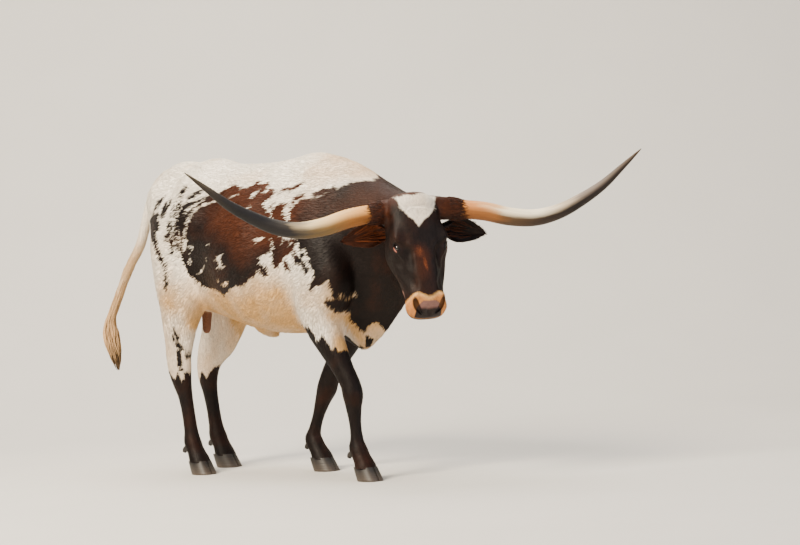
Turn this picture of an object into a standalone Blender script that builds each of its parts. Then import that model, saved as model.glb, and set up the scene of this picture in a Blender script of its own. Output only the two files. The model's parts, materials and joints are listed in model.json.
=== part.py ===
"""Texas longhorn steer at life size, walking, with its head turned a little to its right.

Metres. +X is towards the animal's front, +Y is its left, +Z is up and the floor is Z = 0.
The trunk, neck and head are first shaped straight and symmetric. The neck's turn is applied afterwards.
"""

import math

import bmesh
import bpy
import numpy as np
from mathutils import Matrix, Vector

# Gap between pieces that touch
GAP = 0.0003

# Move that brings the middle of the whole footprint, horns and tail included, to the origin
TO_ORIGIN = (-0.3811, 0.1969, 0.0)

# Neck: where its turn starts and ends along the straight spine, and how far it turns to the right
TURN_START = 0.68
TURN_END = 1.04
TURN_ANGLE = math.radians(-38.5)

# Head: place of the poll on the straight spine, and the tilt of the face from the vertical
POLL_X = 1.178
POLL_Z = 1.242
FACE_TILT = math.radians(22)

# The face looks a little less far round than the horns' line does
FACE_TWIST = math.radians(10)

# How far the face lies to the head's right of the poll
FACE_SHIFT = -0.009

# Resolution of the fused body
BODY_VOXEL = 0.011
BODY_TRIANGLES = 4400
SMOOTH_PASSES = 5

# Trunk and neck stations, rear to front: x and z of the topline, x and z of the underline, half width,
# height of the widest level as a share of the depth, and roundness of the upper and the lower half,
# where 2 is an ellipse and less is narrower
TRUNK = (
    (-0.738, 1.245, -0.712, 1.090, 0.030, 0.50, 2.0, 2.0),
    (-0.722, 1.304, -0.690, 0.985, 0.078, 0.50, 2.0, 2.0),
    (-0.690, 1.362, -0.660, 0.900, 0.122, 0.52, 1.9, 2.0),
    (-0.620, 1.415, -0.612, 0.825, 0.172, 0.54, 1.7, 2.0),
    (-0.530, 1.440, -0.535, 0.775, 0.214, 0.58, 1.6, 2.0),
    (-0.430, 1.428, -0.440, 0.740, 0.242, 0.62, 1.7, 2.0),
    (-0.310, 1.444, -0.320, 0.720, 0.256, 0.62, 1.8, 2.1),
    (-0.200, 1.414, -0.180, 0.688, 0.262, 0.52, 2.0, 2.2),
    (-0.040, 1.408, -0.020, 0.650, 0.292, 0.46, 2.0, 2.2),
    (0.120, 1.414, 0.120, 0.636, 0.298, 0.44, 2.0, 2.2),
    (0.240, 1.432, 0.250, 0.636, 0.278, 0.44, 1.8, 2.1),
    (0.330, 1.449, 0.370, 0.630, 0.250, 0.46, 1.7, 2.0),
    (0.430, 1.432, 0.470, 0.600, 0.226, 0.50, 1.8, 1.7),
    (0.530, 1.404, 0.560, 0.558, 0.198, 0.56, 1.9, 1.5),
    (0.630, 1.362, 0.640, 0.590, 0.164, 0.62, 1.9, 1.3),
    (0.740, 1.306, 0.725, 0.648, 0.132, 0.66, 1.9, 1.2),
    (0.860, 1.258, 0.815, 0.730, 0.110, 0.66, 1.9, 1.2),
    (0.980, 1.240, 0.905, 0.815, 0.098, 0.62, 2.0, 1.4),
    (1.080, 1.220, 0.985, 0.895, 0.088, 0.56, 2.0, 1.8),
    (1.125, 1.185, 1.060, 0.970, 0.050, 0.50, 2.0, 2.0),
)

# Head stations from the poll to the nose: distance down the face, height of the face line, height of the jaw
# line, half width, widest level as a share of the depth from the jaw, and roundness of the face and jaw sides
HEAD = (
    (-0.030, -0.070, -0.120, 0.045, 0.50, 2.0, 2.0),
    (-0.020, -0.035, -0.150, 0.082, 0.52, 2.0, 2.0),
    (0.010, -0.010, -0.185, 0.106, 0.56, 2.2, 2.0),
    (0.050, 0.000, -0.215, 0.116, 0.60, 2.5, 2.0),
    (0.100, 0.004, -0.243, 0.120, 0.62, 2.7, 1.9),
    (0.150, 0.004, -0.262, 0.123, 0.64, 2.7, 1.8),
    (0.200, 0.001, -0.270, 0.126, 0.62, 2.6, 1.8),
    (0.250, -0.003, -0.262, 0.120, 0.58, 2.5, 1.9),
    (0.310, -0.010, -0.236, 0.104, 0.50, 2.4, 2.0),
    (0.370, -0.018, -0.206, 0.090, 0.46, 2.4, 2.2),
    (0.420, -0.026, -0.180, 0.082, 0.46, 2.4, 2.3),
    (0.450, -0.035, -0.168, 0.084, 0.46, 2.4, 2.4),
    (0.476, -0.050, -0.162, 0.089, 0.46, 2.5, 2.4),
    (0.498, -0.072, -0.156, 0.080, 0.44, 2.5, 2.3),
    (0.512, -0.094, -0.149, 0.064, 0.42, 2.4, 2.2),
    (0.520, -0.110, -0.138, 0.036, 0.42, 2.0, 2.0),
)

# Legs as stations from the top down: x, y towards the outside, z, half depth fore and aft, half width
FORELEG_REACHING = (
    (0.400, 0.120, 1.160, 0.120, 0.060),
    (0.440, 0.160, 1.020, 0.165, 0.085),
    (0.500, 0.172, 0.880, 0.160, 0.092),
    (0.470, 0.172, 0.760, 0.125, 0.082),
    (0.478, 0.160, 0.670, 0.092, 0.070),
    (0.520, 0.152, 0.580, 0.068, 0.057),
    (0.570, 0.148, 0.490, 0.051, 0.046),
    (0.606, 0.145, 0.425, 0.048, 0.044),
    (0.618, 0.144, 0.375, 0.049, 0.046),
    (0.618, 0.143, 0.320, 0.038, 0.037),
    (0.621, 0.142, 0.250, 0.029, 0.029),
    (0.625, 0.141, 0.185, 0.031, 0.031),
    (0.627, 0.140, 0.145, 0.043, 0.040),
    (0.648, 0.140, 0.102, 0.040, 0.042),
    (0.668, 0.140, 0.060, 0.047, 0.051),
    (0.684, 0.140, 0.020, 0.050, 0.054),
)
FORELEG_TRAILING = (
    (0.400, 0.120, 1.160, 0.120, 0.060),
    (0.430, 0.160, 1.020, 0.165, 0.085),
    (0.470, 0.172, 0.880, 0.160, 0.092),
    (0.400, 0.172, 0.760, 0.125, 0.082),
    (0.350, 0.160, 0.670, 0.092, 0.070),
    (0.292, 0.152, 0.580, 0.068, 0.057),
    (0.230, 0.148, 0.490, 0.051, 0.046),
    (0.190, 0.145, 0.425, 0.048, 0.044),
    (0.168, 0.144, 0.375, 0.049, 0.046),
    (0.138, 0.143, 0.320, 0.038, 0.037),
    (0.105, 0.142, 0.250, 0.029, 0.029),
    (0.078, 0.141, 0.185, 0.031, 0.031),
    (0.068, 0.140, 0.145, 0.043, 0.040),
    (0.092, 0.140, 0.102, 0.040, 0.042),
    (0.118, 0.140, 0.060, 0.047, 0.051),
    (0.136, 0.140, 0.020, 0.050, 0.054),
)
HINDLEG_RIGHT = (
    (-0.440, 0.120, 1.240, 0.150, 0.075),
    (-0.455, 0.150, 1.080, 0.160, 0.095),
    (-0.440, 0.166, 0.930, 0.146, 0.095),
    (-0.432, 0.170, 0.800, 0.140, 0.082),
    (-0.458, 0.164, 0.700, 0.112, 0.062),
    (-0.476, 0.158, 0.610, 0.090, 0.048),
    (-0.488, 0.154, 0.545, 0.077, 0.041),
    (-0.488, 0.151, 0.485, 0.070, 0.041),
    (-0.480, 0.149, 0.425, 0.055, 0.038),
    (-0.464, 0.148, 0.360, 0.040, 0.032),
    (-0.450, 0.147, 0.280, 0.035, 0.030),
    (-0.440, 0.146, 0.200, 0.036, 0.032),
    (-0.434, 0.146, 0.150, 0.043, 0.040),
    (-0.414, 0.146, 0.105, 0.040, 0.042),
    (-0.392, 0.146, 0.060, 0.047, 0.051),
    (-0.374, 0.146, 0.020, 0.050, 0.054),
)
HINDLEG_LEFT = (
    (-0.450, 0.120, 1.240, 0.150, 0.075),
    (-0.460, 0.150, 1.080, 0.160, 0.095),
    (-0.452, 0.166, 0.930, 0.150, 0.095),
    (-0.470, 0.170, 0.800, 0.165, 0.082),
    (-0.505, 0.164, 0.700, 0.140, 0.062),
    (-0.548, 0.158, 0.610, 0.120, 0.048),
    (-0.590, 0.154, 0.545, 0.094, 0.041),
    (-0.618, 0.151, 0.485, 0.072, 0.041),
    (-0.626, 0.149, 0.425, 0.060, 0.038),
    (-0.617, 0.148, 0.360, 0.044, 0.032),
    (-0.602, 0.147, 0.280, 0.037, 0.030),
    (-0.588, 0.146, 0.200, 0.038, 0.032),
    (-0.578, 0.146, 0.150, 0.045, 0.040),
    (-0.556, 0.146, 0.105, 0.041, 0.042),
    (-0.534, 0.146, 0.060, 0.047, 0.051),
    (-0.516, 0.146, 0.020, 0.050, 0.054),
)
RIGHT = -1
LEFT = 1
LEGS = {
    "foreleg_right": (FORELEG_REACHING, RIGHT),
    "foreleg_left": (FORELEG_TRAILING, LEFT),
    "hindleg_right": (HINDLEG_RIGHT, RIGHT),
    "hindleg_left": (HINDLEG_LEFT, LEFT),
}


# Softening of the trunk and of the roots of the legs
TRUNK_PASSES = 22

# Strokes on the trunk and legs, given for the left side: centre, radii, and amount outwards
BODY_STROKES = (
    ((0.380, 0.21, 1.260), (0.14, 0.16, 0.22), 0.014),
    ((0.470, 0.22, 1.060), (0.14, 0.16, 0.22), 0.012),
    ((0.585, 0.19, 0.870), (0.15, 0.15, 0.16), 0.014),
    ((0.390, 0.26, 0.880), (0.17, 0.14, 0.20), 0.018),
    ((0.210, 0.27, 1.020), (0.12, 0.16, 0.34), -0.020),
    ((-0.310, 0.23, 1.330), (0.16, 0.14, 0.13), 0.034),
    ((-0.150, 0.23, 1.230), (0.18, 0.16, 0.15), -0.028),
    ((-0.240, 0.26, 0.930), (0.16, 0.16, 0.22), -0.020),
    ((-0.650, 0.09, 1.270), (0.13, 0.11, 0.12), 0.026),
    ((-0.500, 0.18, 1.330), (0.16, 0.14, 0.13), -0.020),
    ((-0.450, 0.25, 1.130), (0.16, 0.14, 0.17), 0.014),
    ((-0.310, 0.23, 0.830), (0.14, 0.14, 0.16), 0.020),
    ((0.720, 0.13, 1.000), (0.22, 0.14, 0.12), -0.012),
)

# Head: resolution, eyes, mouth and the strokes on its left side, in the head's own axes
HEAD_VOXEL = 0.0042
HEAD_TRIANGLES = 2600
EYE = (0.222, 0.0970, -0.0490)
EYE_RADIUS = 0.0205
LID_RADII = (0.0345, 0.0250, 0.0233)
MOUTH_LINE = -0.126
MOUTH_CORNER = 0.392
MOUTH_DEPTH = 0.005
MOUTH_WIDTH = 0.0028
HEAD_STROKES = (
    ((0.176, 0.112, -0.016), (0.062, 0.046, 0.040), (0, 0.014, 0.010)),
    ((0.228, 0.118, -0.056), (0.080, 0.060, 0.070), (0, 0.008, 0)),
    ((0.105, 0.125, -0.075), (0.060, 0.060, 0.055), (0, -0.014, 0)),
    ((0.300, 0.088, -0.100), (0.110, 0.045, 0.030), (0, 0.010, 0)),
    ((0.272, 0.100, -0.062), (0.045, 0.040, 0.030), (0, -0.010, 0)),
    ((0.190, 0.118, -0.010), (0.030, 0.030, 0.030), (0.003, 0.002, 0.008)),
    ((0.204, 0.092, 0.000), (0.030, 0.030, 0.030), (0.003, 0, 0.008)),
    ((0.222, 0.066, 0.004), (0.030, 0.028, 0.030), (0.003, 0, 0.007)),
    ((0.240, 0.044, 0.004), (0.030, 0.024, 0.030), (0.002, 0, 0.004)),
    ((0.258, 0.066, -0.004), (0.034, 0.026, 0.030), (0, 0, -0.010)),
    ((0.340, 0.080, -0.055), (0.110, 0.050, 0.034), (0, -0.012, 0)),
    ((0.300, 0.078, -0.018), (0.110, 0.036, 0.036), (0, -0.012, -0.010)),
    ((0.390, 0.066, -0.034), (0.060, 0.032, 0.030), (0, -0.009, -0.006)),
    ((0.200, 0.095, -0.190), (0.100, 0.070, 0.070), (0, 0.012, 0)),
    ((0.340, 0.075, -0.165), (0.080, 0.045, 0.045), (0, -0.010, 0)),
    ((0.446, 0.064, -0.046), (0.036, 0.030, 0.034), (0.004, 0.008, 0.008)),
    ((0.446, 0.084, -0.105), (0.055, 0.035, 0.028), (0, 0.006, 0)),
    ((0.456, 0.066, -0.158), (0.055, 0.045, 0.024), (0, -0.012, 0.004)),
    ((0.496, 0.000, -0.080), (0.036, 0.018, 0.036), (-0.004, 0, -0.004)),
)
NOSTRIL_PATH = (
    (0.508, 0.030, -0.093, 0.0045),
    (0.499, 0.038, -0.083, 0.0085),
    (0.487, 0.049, -0.073, 0.0115),
    (0.473, 0.057, -0.062, 0.0120),
    (0.460, 0.061, -0.053, 0.0100),
    (0.447, 0.060, -0.048, 0.0060),
)

# Horns, from the poll: forwards, outwards and up, and the radius at the root
HORN_PATH = (
    (-0.070, 0.100, -0.068),
    (-0.058, 0.189, -0.075),
    (-0.041, 0.295, -0.090),
    (-0.028, 0.400, -0.118),
    (-0.019, 0.507, -0.128),
    (-0.013, 0.613, -0.106),
    (-0.006, 0.711, -0.060),
    (0.000, 0.804, -0.003),
    (0.002, 0.888, 0.066),
    (-0.005, 0.980, 0.142),
)
HORN_RADIUS = 0.0415

# The haired bosses that carry the horns, in the same axes, with their radii
BOSS_PATH = (
    (-0.075, 0.000, -0.060, 0.050),
    (-0.074, 0.050, -0.062, 0.051),
    (-0.072, 0.100, -0.067, 0.050),
    (-0.065, 0.140, -0.071, 0.0485),
    (-0.060, 0.172, -0.074, 0.0460),
    (-0.057, 0.192, -0.076, 0.0430),
    (-0.056, 0.200, -0.077, 0.0360),
)

# Ears, from the poll, and their stations: share of the length, half width, wrap in degrees, thickness
EAR_ROOT = (-0.075, 0.085, -0.155)
EAR_LINE = (-0.070, 0.190, -0.012)
EAR_FACES = (0.90, 0.25, -0.35)
EAR_LENGTH = 0.240
EAR = (
    (0.00, 0.020, 150, 0.009),
    (0.14, 0.028, 142, 0.008),
    (0.28, 0.042, 112, 0.007),
    (0.42, 0.055, 82, 0.006),
    (0.56, 0.056, 68, 0.006),
    (0.70, 0.047, 60, 0.005),
    (0.84, 0.032, 54, 0.005),
    (0.94, 0.018, 50, 0.004),
    (1.00, 0.006, 46, 0.004),
)

# Hooves
CORONET = 0.062
CLAW_LENGTH = 0.057
CLAW_WIDTH = 0.047
CLAW_GAP = 0.007
TOES_OUT = 4

# Where each leg is cut from the body: x, y outwards, z, reach fore and aft
LEG_CUTS = {
    "foreleg_right": (0.530, 0.160, 0.560, 0.26),
    "foreleg_left": (0.290, 0.160, 0.575, 0.26),
    "hindleg_right": (-0.460, 0.155, 0.665, 0.34),
    "hindleg_left": (-0.520, 0.155, 0.665, 0.40),
}

# Tail, switch, pouch and navel fold: points and radii, the last one fore and aft
TAIL_PATH = (
    (-0.580, 0.000, 1.372, 0.040),
    (-0.650, -0.004, 1.364, 0.038),
    (-0.712, -0.022, 1.320, 0.030),
    (-0.742, -0.048, 1.240, 0.025),
    (-0.752, -0.080, 1.140, 0.024),
    (-0.770, -0.104, 1.050, 0.0235),
    (-0.815, -0.126, 0.968, 0.022),
    (-0.853, -0.143, 0.888, 0.020),
    (-0.890, -0.157, 0.801, 0.0185),
    (-0.919, -0.168, 0.735, 0.0175),
)
SWITCH_PATH = (
    (-0.9195, -0.1682, 0.7345, 0.020),
    (-0.930, -0.173, 0.690, 0.032),
    (-0.928, -0.174, 0.640, 0.040),
    (-0.917, -0.172, 0.580, 0.039),
    (-0.907, -0.169, 0.525, 0.030),
    (-0.900, -0.166, 0.475, 0.012),
)

# Core of the switch: its share of the length and its radius at the top and the bottom. Locks: the seed of
# their variation, half width and half thickness at the middle, and tiers of how many, where they start and
# end as shares of the length, and how far out they reach
CORE_SHARE = 0.46
CORE_RADII = (0.0186, 0.0080)
LOCK_SEED = 7
LOCK_WIDTH = 0.0145
LOCK_THICK = 0.0034
LOCK_TIERS = (
    (5, 0.30, 0.98, 0.50),
    (7, 0.16, 0.86, 0.74),
    (8, 0.03, 0.66, 0.92),
)
POUCH_PATH = (
    (-0.440, 0.000, 0.800, 0.026),
    (-0.447, 0.000, 0.740, 0.024),
    (-0.453, 0.000, 0.690, 0.0215),
    (-0.456, 0.000, 0.655, 0.0185),
    (-0.457, 0.000, 0.637, 0.0100),
)
SHEATH_PATH = (
    (-0.150, 0.000, 0.715, 0.026),
    (-0.085, 0.000, 0.672, 0.031),
    (-0.030, 0.000, 0.648, 0.028),
    (0.006, 0.000, 0.635, 0.017),
    (0.020, 0.000, 0.630, 0.006),
)

COLOURS = {
    "torso": (0.80, 0.74, 0.66),
    "neck": (0.10, 0.05, 0.03),
    "head": (0.08, 0.04, 0.03),
    "horn": (0.55, 0.45, 0.32),
    "ear": (0.10, 0.05, 0.03),
    "eye": (0.02, 0.015, 0.01),
    "foreleg": (0.06, 0.04, 0.03),
    "hindleg": (0.30, 0.22, 0.16),
    "foreclaw": (0.05, 0.04, 0.035),
    "hindclaw": (0.05, 0.04, 0.035),
    "foredewclaw": (0.05, 0.04, 0.035),
    "hinddewclaw": (0.05, 0.04, 0.035),
    "tail_switch": (0.42, 0.28, 0.16),
    "tail": (0.75, 0.66, 0.52),
    "groin_pouch": (0.30, 0.18, 0.12),
    "navel_sheath": (0.60, 0.45, 0.30),
}


def clear_scene():
    for obj in list(bpy.data.objects):
        bpy.data.objects.remove(obj)


def new_object(name, bm):
    """An object from a bmesh, linked to the scene."""
    mesh = bpy.data.meshes.new(name)
    bm.to_mesh(mesh)
    bm.free()
    obj = bpy.data.objects.new(name, mesh)
    bpy.context.scene.collection.objects.link(obj)
    return obj


def resample(rows, count):
    """Rows of numbers smoothed by a Catmull-Rom curve, at count even steps along the table."""
    table = np.array(rows, float)
    last = len(table) - 1
    steps = np.linspace(0, last, count)
    index = np.minimum(steps.astype(int), last - 1)
    t = (steps - index)[:, None]
    before = table[np.maximum(index - 1, 0)]
    here = table[index]
    after = table[index + 1]
    beyond = table[np.minimum(index + 2, last)]
    return 0.5 * (
        2 * here
        + (after - before) * t
        + (2 * before - 5 * here + 4 * after - beyond) * t**2
        + (3 * here - before - 3 * after + beyond) * t**3
    )


def skin_rings(name, rings):
    """A closed mesh through rings of equally many points, with its two ends capped."""
    bm = bmesh.new()
    loops = [[bm.verts.new(point) for point in ring] for ring in rings]
    count = len(loops[0])
    for first, second in zip(loops, loops[1:]):
        for i in range(count):
            j = (i + 1) % count
            bm.faces.new((first[i], first[j], second[j], second[i]))
    for loop in (loops[0], loops[-1]):
        middle = bm.verts.new(sum((v.co for v in loop), Vector()) / count)
        for i in range(count):
            bm.faces.new((loop[i], loop[(i + 1) % count], middle))
    bmesh.ops.recalc_face_normals(bm, faces=bm.faces)
    return new_object(name, bm)


def rounded(angle, power):
    """Cosine and sine of an angle on a unit outline whose corners swell or shrink with the power."""
    c, s = math.cos(angle), math.sin(angle)
    return (
        math.copysign(abs(c) ** (2 / power), c),
        math.copysign(abs(s) ** (2 / power), s),
    )


def turn_neck(point):
    """A point of the straight animal moved to its place once the neck is turned."""
    steps = np.linspace(TURN_START, TURN_END, 80)
    share = (steps - TURN_START) / (TURN_END - TURN_START)
    headings = TURN_ANGLE * share**2 * (3 - 2 * share)
    step = steps[1] - steps[0]
    path_x = TURN_START + np.concatenate(([0], np.cumsum(np.cos(headings[:-1]) * step)))
    path_y = np.concatenate(([0], np.cumsum(np.sin(headings[:-1]) * step)))
    if point[0] <= TURN_START:
        return Vector(point)
    heading = float(np.interp(point[0], steps, headings))
    beyond = max(point[0] - TURN_END, 0)
    x = float(np.interp(point[0], steps, path_x)) + beyond * math.cos(heading)
    y = float(np.interp(point[0], steps, path_y)) + beyond * math.sin(heading)
    return Vector(
        (
            x - point[1] * math.sin(heading),
            y + point[1] * math.cos(heading),
            point[2],
        )
    )


def trunk(rings=90, around=56):
    """The trunk and neck, from the buttocks to inside the head."""
    loops = []
    for top_x, top_z, low_x, low_z, half_width, widest, top_round, low_round in resample(
        TRUNK, rings
    ):
        middle_x = low_x + (top_x - low_x) * widest
        middle_z = low_z + (top_z - low_z) * widest
        loop = []
        for k in range(around):
            angle = 2 * math.pi * k / around
            upper = math.sin(angle) >= 0
            side, rise = rounded(angle, top_round if upper else low_round)
            end_x, end_z = (top_x, top_z) if upper else (low_x, low_z)
            x = middle_x + (end_x - middle_x) * abs(rise)
            z = middle_z + (end_z - middle_z) * abs(rise)
            loop.append(turn_neck((x, half_width * side, z)))
        loops.append(loop)
    return skin_rings("trunk", loops)


def leg(name, stations, side, rings=44, around=28):
    """One leg, as a tube whose rings stand square to its line."""
    table = resample(stations, rings)
    tangents = np.gradient(table[:, [0, 2]], axis=0)
    loops = []
    for (x, y, z, half_depth, half_width), (dx, dz) in zip(table, tangents):
        length = math.hypot(dx, dz)
        across = Vector((-dz / length, 0, dx / length))
        centre = Vector((x, side * y, z))
        loops.append(
            [
                centre
                + across * (half_depth * math.cos(2 * math.pi * k / around))
                + Vector((0, half_width * math.sin(2 * math.pi * k / around), 0))
                for k in range(around)
            ]
        )
    return skin_rings(name, loops)


def apply_modifiers(obj):
    """Replaces the object's mesh by its evaluated one."""
    graph = bpy.context.evaluated_depsgraph_get()
    mesh = bpy.data.meshes.new_from_object(obj.evaluated_get(graph))
    obj.modifiers.clear()
    obj.data = mesh
    return obj


def join(objects, name):
    """One object that holds the meshes of several, which are removed."""
    bm = bmesh.new()
    for obj in objects:
        bm.from_mesh(obj.data)
        bpy.data.objects.remove(obj)
    return new_object(name, bm)


def melt(obj, voxel, passes):
    """Overlapping shapes made one surface of small even faces, then softened."""
    remesh = obj.modifiers.new("melt", "REMESH")
    remesh.mode = "VOXEL"
    remesh.voxel_size = voxel
    smooth = obj.modifiers.new("soften", "SMOOTH")
    smooth.factor = 0.5
    smooth.iterations = passes
    return apply_modifiers(obj)


def reduce(obj, triangles):
    """The surface with fewer triangles, most of them where it bends."""
    bm = bmesh.new()
    bm.from_mesh(obj.data)
    bmesh.ops.triangulate(bm, faces=bm.faces)
    bm.to_mesh(obj.data)
    bm.free()
    decimate = obj.modifiers.new("reduce", "DECIMATE")
    decimate.ratio = triangles / len(obj.data.polygons)
    return apply_modifiers(obj)


def boolean(obj, other, operation, keep=False):
    """The object joined with another, or cut by it. The other is removed unless it is kept."""
    modifier = obj.modifiers.new("boolean", "BOOLEAN")
    modifier.operation = operation
    modifier.solver = "EXACT"
    modifier.object = other
    apply_modifiers(obj)
    if not keep:
        bpy.data.objects.remove(other)
    return obj


def swollen(obj, distance):
    """A copy of the object with its surface moved outwards."""
    bm = bmesh.new()
    bm.from_mesh(obj.data)
    bm.normal_update()
    moves = [vert.normal * distance for vert in bm.verts]
    for vert, move in zip(bm.verts, moves):
        vert.co += move
    return new_object(obj.name + "_swollen", bm)


def loose_parts(obj):
    """The separate closed surfaces of an object as objects of their own, largest first."""
    bm = bmesh.new()
    bm.from_mesh(obj.data)
    bm.verts.ensure_lookup_table()
    left = set(range(len(bm.verts)))
    groups = []
    while left:
        stack = [left.pop()]
        group = set(stack)
        while stack:
            for edge in bm.verts[stack.pop()].link_edges:
                for vert in edge.verts:
                    if vert.index in left:
                        left.discard(vert.index)
                        group.add(vert.index)
                        stack.append(vert.index)
        groups.append(group)
    groups.sort(key=len, reverse=True)
    parts = []
    for group in groups:
        part = bm.copy()
        part.verts.ensure_lookup_table()
        others = [vert for vert in part.verts if vert.index not in group]
        bmesh.ops.delete(part, geom=others, context="VERTS")
        parts.append(new_object("loose", part))
    bm.free()
    bpy.data.objects.remove(obj)
    return parts


def largest(obj):
    """The object with only its largest closed surface."""
    name = obj.name
    parts = loose_parts(obj)
    for part in parts[1:]:
        bpy.data.objects.remove(part)
    parts[0].name = name
    return parts[0]


def centre_of(obj):
    return sum((v.co for v in obj.data.vertices), Vector()) / len(obj.data.vertices)


def box(name, centre, size, turn=None):
    """A box, turned by a matrix about its centre."""
    bm = bmesh.new()
    bmesh.ops.create_cube(bm, size=1)
    frame = Matrix.Translation(centre) @ (turn or Matrix()) @ Matrix.Diagonal((*size, 1))
    bmesh.ops.transform(bm, matrix=frame, verts=bm.verts)
    return new_object(name, bm)


def ball(name, centre, radii, turn=None, segments=16, rings=10):
    """An ellipsoid, turned by a matrix about its centre."""
    bm = bmesh.new()
    bmesh.ops.create_uvsphere(bm, u_segments=segments, v_segments=rings, radius=1)
    frame = Matrix.Translation(centre) @ (turn or Matrix()) @ Matrix.Diagonal((*radii, 1))
    bmesh.ops.transform(bm, matrix=frame, verts=bm.verts)
    return new_object(name, bm)


def tube(name, path, around=12, count=None):
    """A closed tube along points given as x, y, z, radius, with an optional flatter radius across."""
    table = resample(path, count or len(path) * 4)
    points = [Vector(row[:3]) for row in table]
    loops = []
    side = None
    for i, row in enumerate(table):
        tangent = points[min(i + 1, len(points) - 1)] - points[max(i - 1, 0)]
        tangent.normalize()
        if side is None:
            side = tangent.orthogonal().normalized()
            if abs(tangent.y) < 0.9:
                side = (Vector((0, 1, 0)) - tangent * tangent.y).normalized()
        side = (side - tangent * side.dot(tangent)).normalized()
        other = tangent.cross(side)
        wide, deep = row[3], row[-1]
        loops.append(
            [
                points[i]
                + side * (wide * math.cos(2 * math.pi * k / around))
                + other * (deep * math.sin(2 * math.pi * k / around))
                for k in range(around)
            ]
        )
    return skin_rings(name, loops)


def sculpt(obj, strokes):
    """Moves a surface by strokes: centre, radii along x, y and z, and either an amount outwards or a move."""
    mesh = obj.data
    points = np.empty(len(mesh.vertices) * 3)
    mesh.vertices.foreach_get("co", points)
    points = points.reshape(-1, 3)
    normals = np.empty(len(mesh.vertices) * 3)
    mesh.vertices.foreach_get("normal", normals)
    normals = normals.reshape(-1, 3)
    for centre, radii, move in strokes:
        reach = ((points - np.array(centre)) / np.array(radii)) ** 2
        weight = np.clip(1 - reach.sum(axis=1), 0, 1)[:, None] ** 2
        points += weight * (normals * move if np.isscalar(move) else np.array(move))
    mesh.vertices.foreach_set("co", points.ravel())
    mesh.update()
    return obj


def relax(obj, passes, weight):
    """Softens a surface, most where the weight of a point, which is a function of its place, is highest."""
    mesh = obj.data
    count = len(mesh.vertices)
    points = np.empty(count * 3)
    mesh.vertices.foreach_get("co", points)
    points = points.reshape(-1, 3)
    edges = np.empty(len(mesh.edges) * 2, int)
    mesh.edges.foreach_get("vertices", edges)
    first, second = edges.reshape(-1, 2).T
    degree = np.bincount(np.concatenate((first, second)), minlength=count)[:, None]
    share = weight(points)[:, None]
    for _ in range(passes):
        total = np.zeros_like(points)
        np.add.at(total, first, points[second])
        np.add.at(total, second, points[first])
        points += 0.5 * share * (total / degree - points)
    mesh.vertices.foreach_set("co", points.ravel())
    mesh.update()
    return obj


def both_sides(strokes):
    """Strokes on the left side, repeated on the right."""
    mirrored = []
    for centre, radii, move in strokes:
        mirrored.append((centre, radii, move))
        other = (centre[0], -centre[1], centre[2])
        away = move if np.isscalar(move) else (move[0], -move[1], move[2])
        mirrored.append((other, radii, away))
    return mirrored


def body_strokes():
    """The body's strokes, with those on the neck turned along with it."""
    strokes = both_sides(BODY_STROKES)
    return [(turn_neck(centre), radii, move) for centre, radii, move in strokes]


def fused_body():
    """Trunk, neck and legs melted into one closed surface."""
    pieces = [trunk()]
    pieces += [leg(name, stations, side) for name, (stations, side) in LEGS.items()]
    body = melt(join(pieces, "body"), BODY_VOXEL, SMOOTH_PASSES)
    sculpt(body, body_strokes())
    return relax(body, TRUNK_PASSES, lambda p: np.clip((p[:, 2] - 0.55) / 0.12, 0, 1))


def poll():
    """The top of the head between the horns, once the neck is turned."""
    return turn_neck((POLL_X, 0, POLL_Z))


def horn_place(forward, out, rise):
    """A point given from the poll along the horns' own axes."""
    return poll() + Matrix.Rotation(TURN_ANGLE, 4, "Z") @ Vector((forward, out, rise))


def head_place(u, v, w):
    """A point of the head: u down the face from the poll, v to its left, w out from the face line."""
    down = Vector((math.sin(FACE_TILT), 0, -math.cos(FACE_TILT)))
    out = Vector((math.cos(FACE_TILT), 0, math.sin(FACE_TILT)))
    from_poll = down * u + out * w + Vector((0, v + FACE_SHIFT, 0))
    return poll() + Matrix.Rotation(TURN_ANGLE + FACE_TWIST, 4, "Z") @ from_poll


def head_turn():
    """The turn from the head's own axes, which are down the face, to its left and out from it, to the world's."""
    origin = head_place(0, 0, 0)
    axes = [head_place(*axis) - origin for axis in ((1, 0, 0), (0, 1, 0), (0, 0, 1))]
    return Matrix(axes).transposed().to_4x4()


def skull(rings=70, around=64):
    """The plain form of the head, in its own axes."""
    loops = []
    for u, top, low, half_width, widest, top_round, low_round in resample(HEAD, rings):
        middle = low + (top - low) * widest
        loop = []
        for k in range(around):
            angle = 2 * math.pi * k / around
            upper = math.sin(angle) >= 0
            side, rise = rounded(angle, top_round if upper else low_round)
            end = top if upper else low
            loop.append(Vector((u, half_width * side, middle + (end - middle) * abs(rise))))
        loops.append(loop)
    return skin_rings("skull", loops)


def head_frame():
    """The move from the head's own axes to its place."""
    return Matrix.Translation(head_place(0, 0, 0)) @ head_turn()


def boss(side):
    """The haired boss of one horn, in the head's own axes."""
    back = head_frame().inverted()
    rows = []
    for forward, out, rise, radius in BOSS_PATH:
        rows.append((*(back @ horn_place(forward, side * out, rise)), radius))
    return tube("boss", rows, 16)


def gaze(side):
    """The turn of an eye: its x towards the inner corner, its y up and its z out of the opening."""
    out = Vector((0.10, side * 0.74, 0.66)).normalized()
    corner = Vector((1, side * -0.30, 0.20))
    corner = (corner - out * corner.dot(out)).normalized()
    return Matrix((corner, out.cross(corner), out)).transposed().to_4x4()


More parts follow.
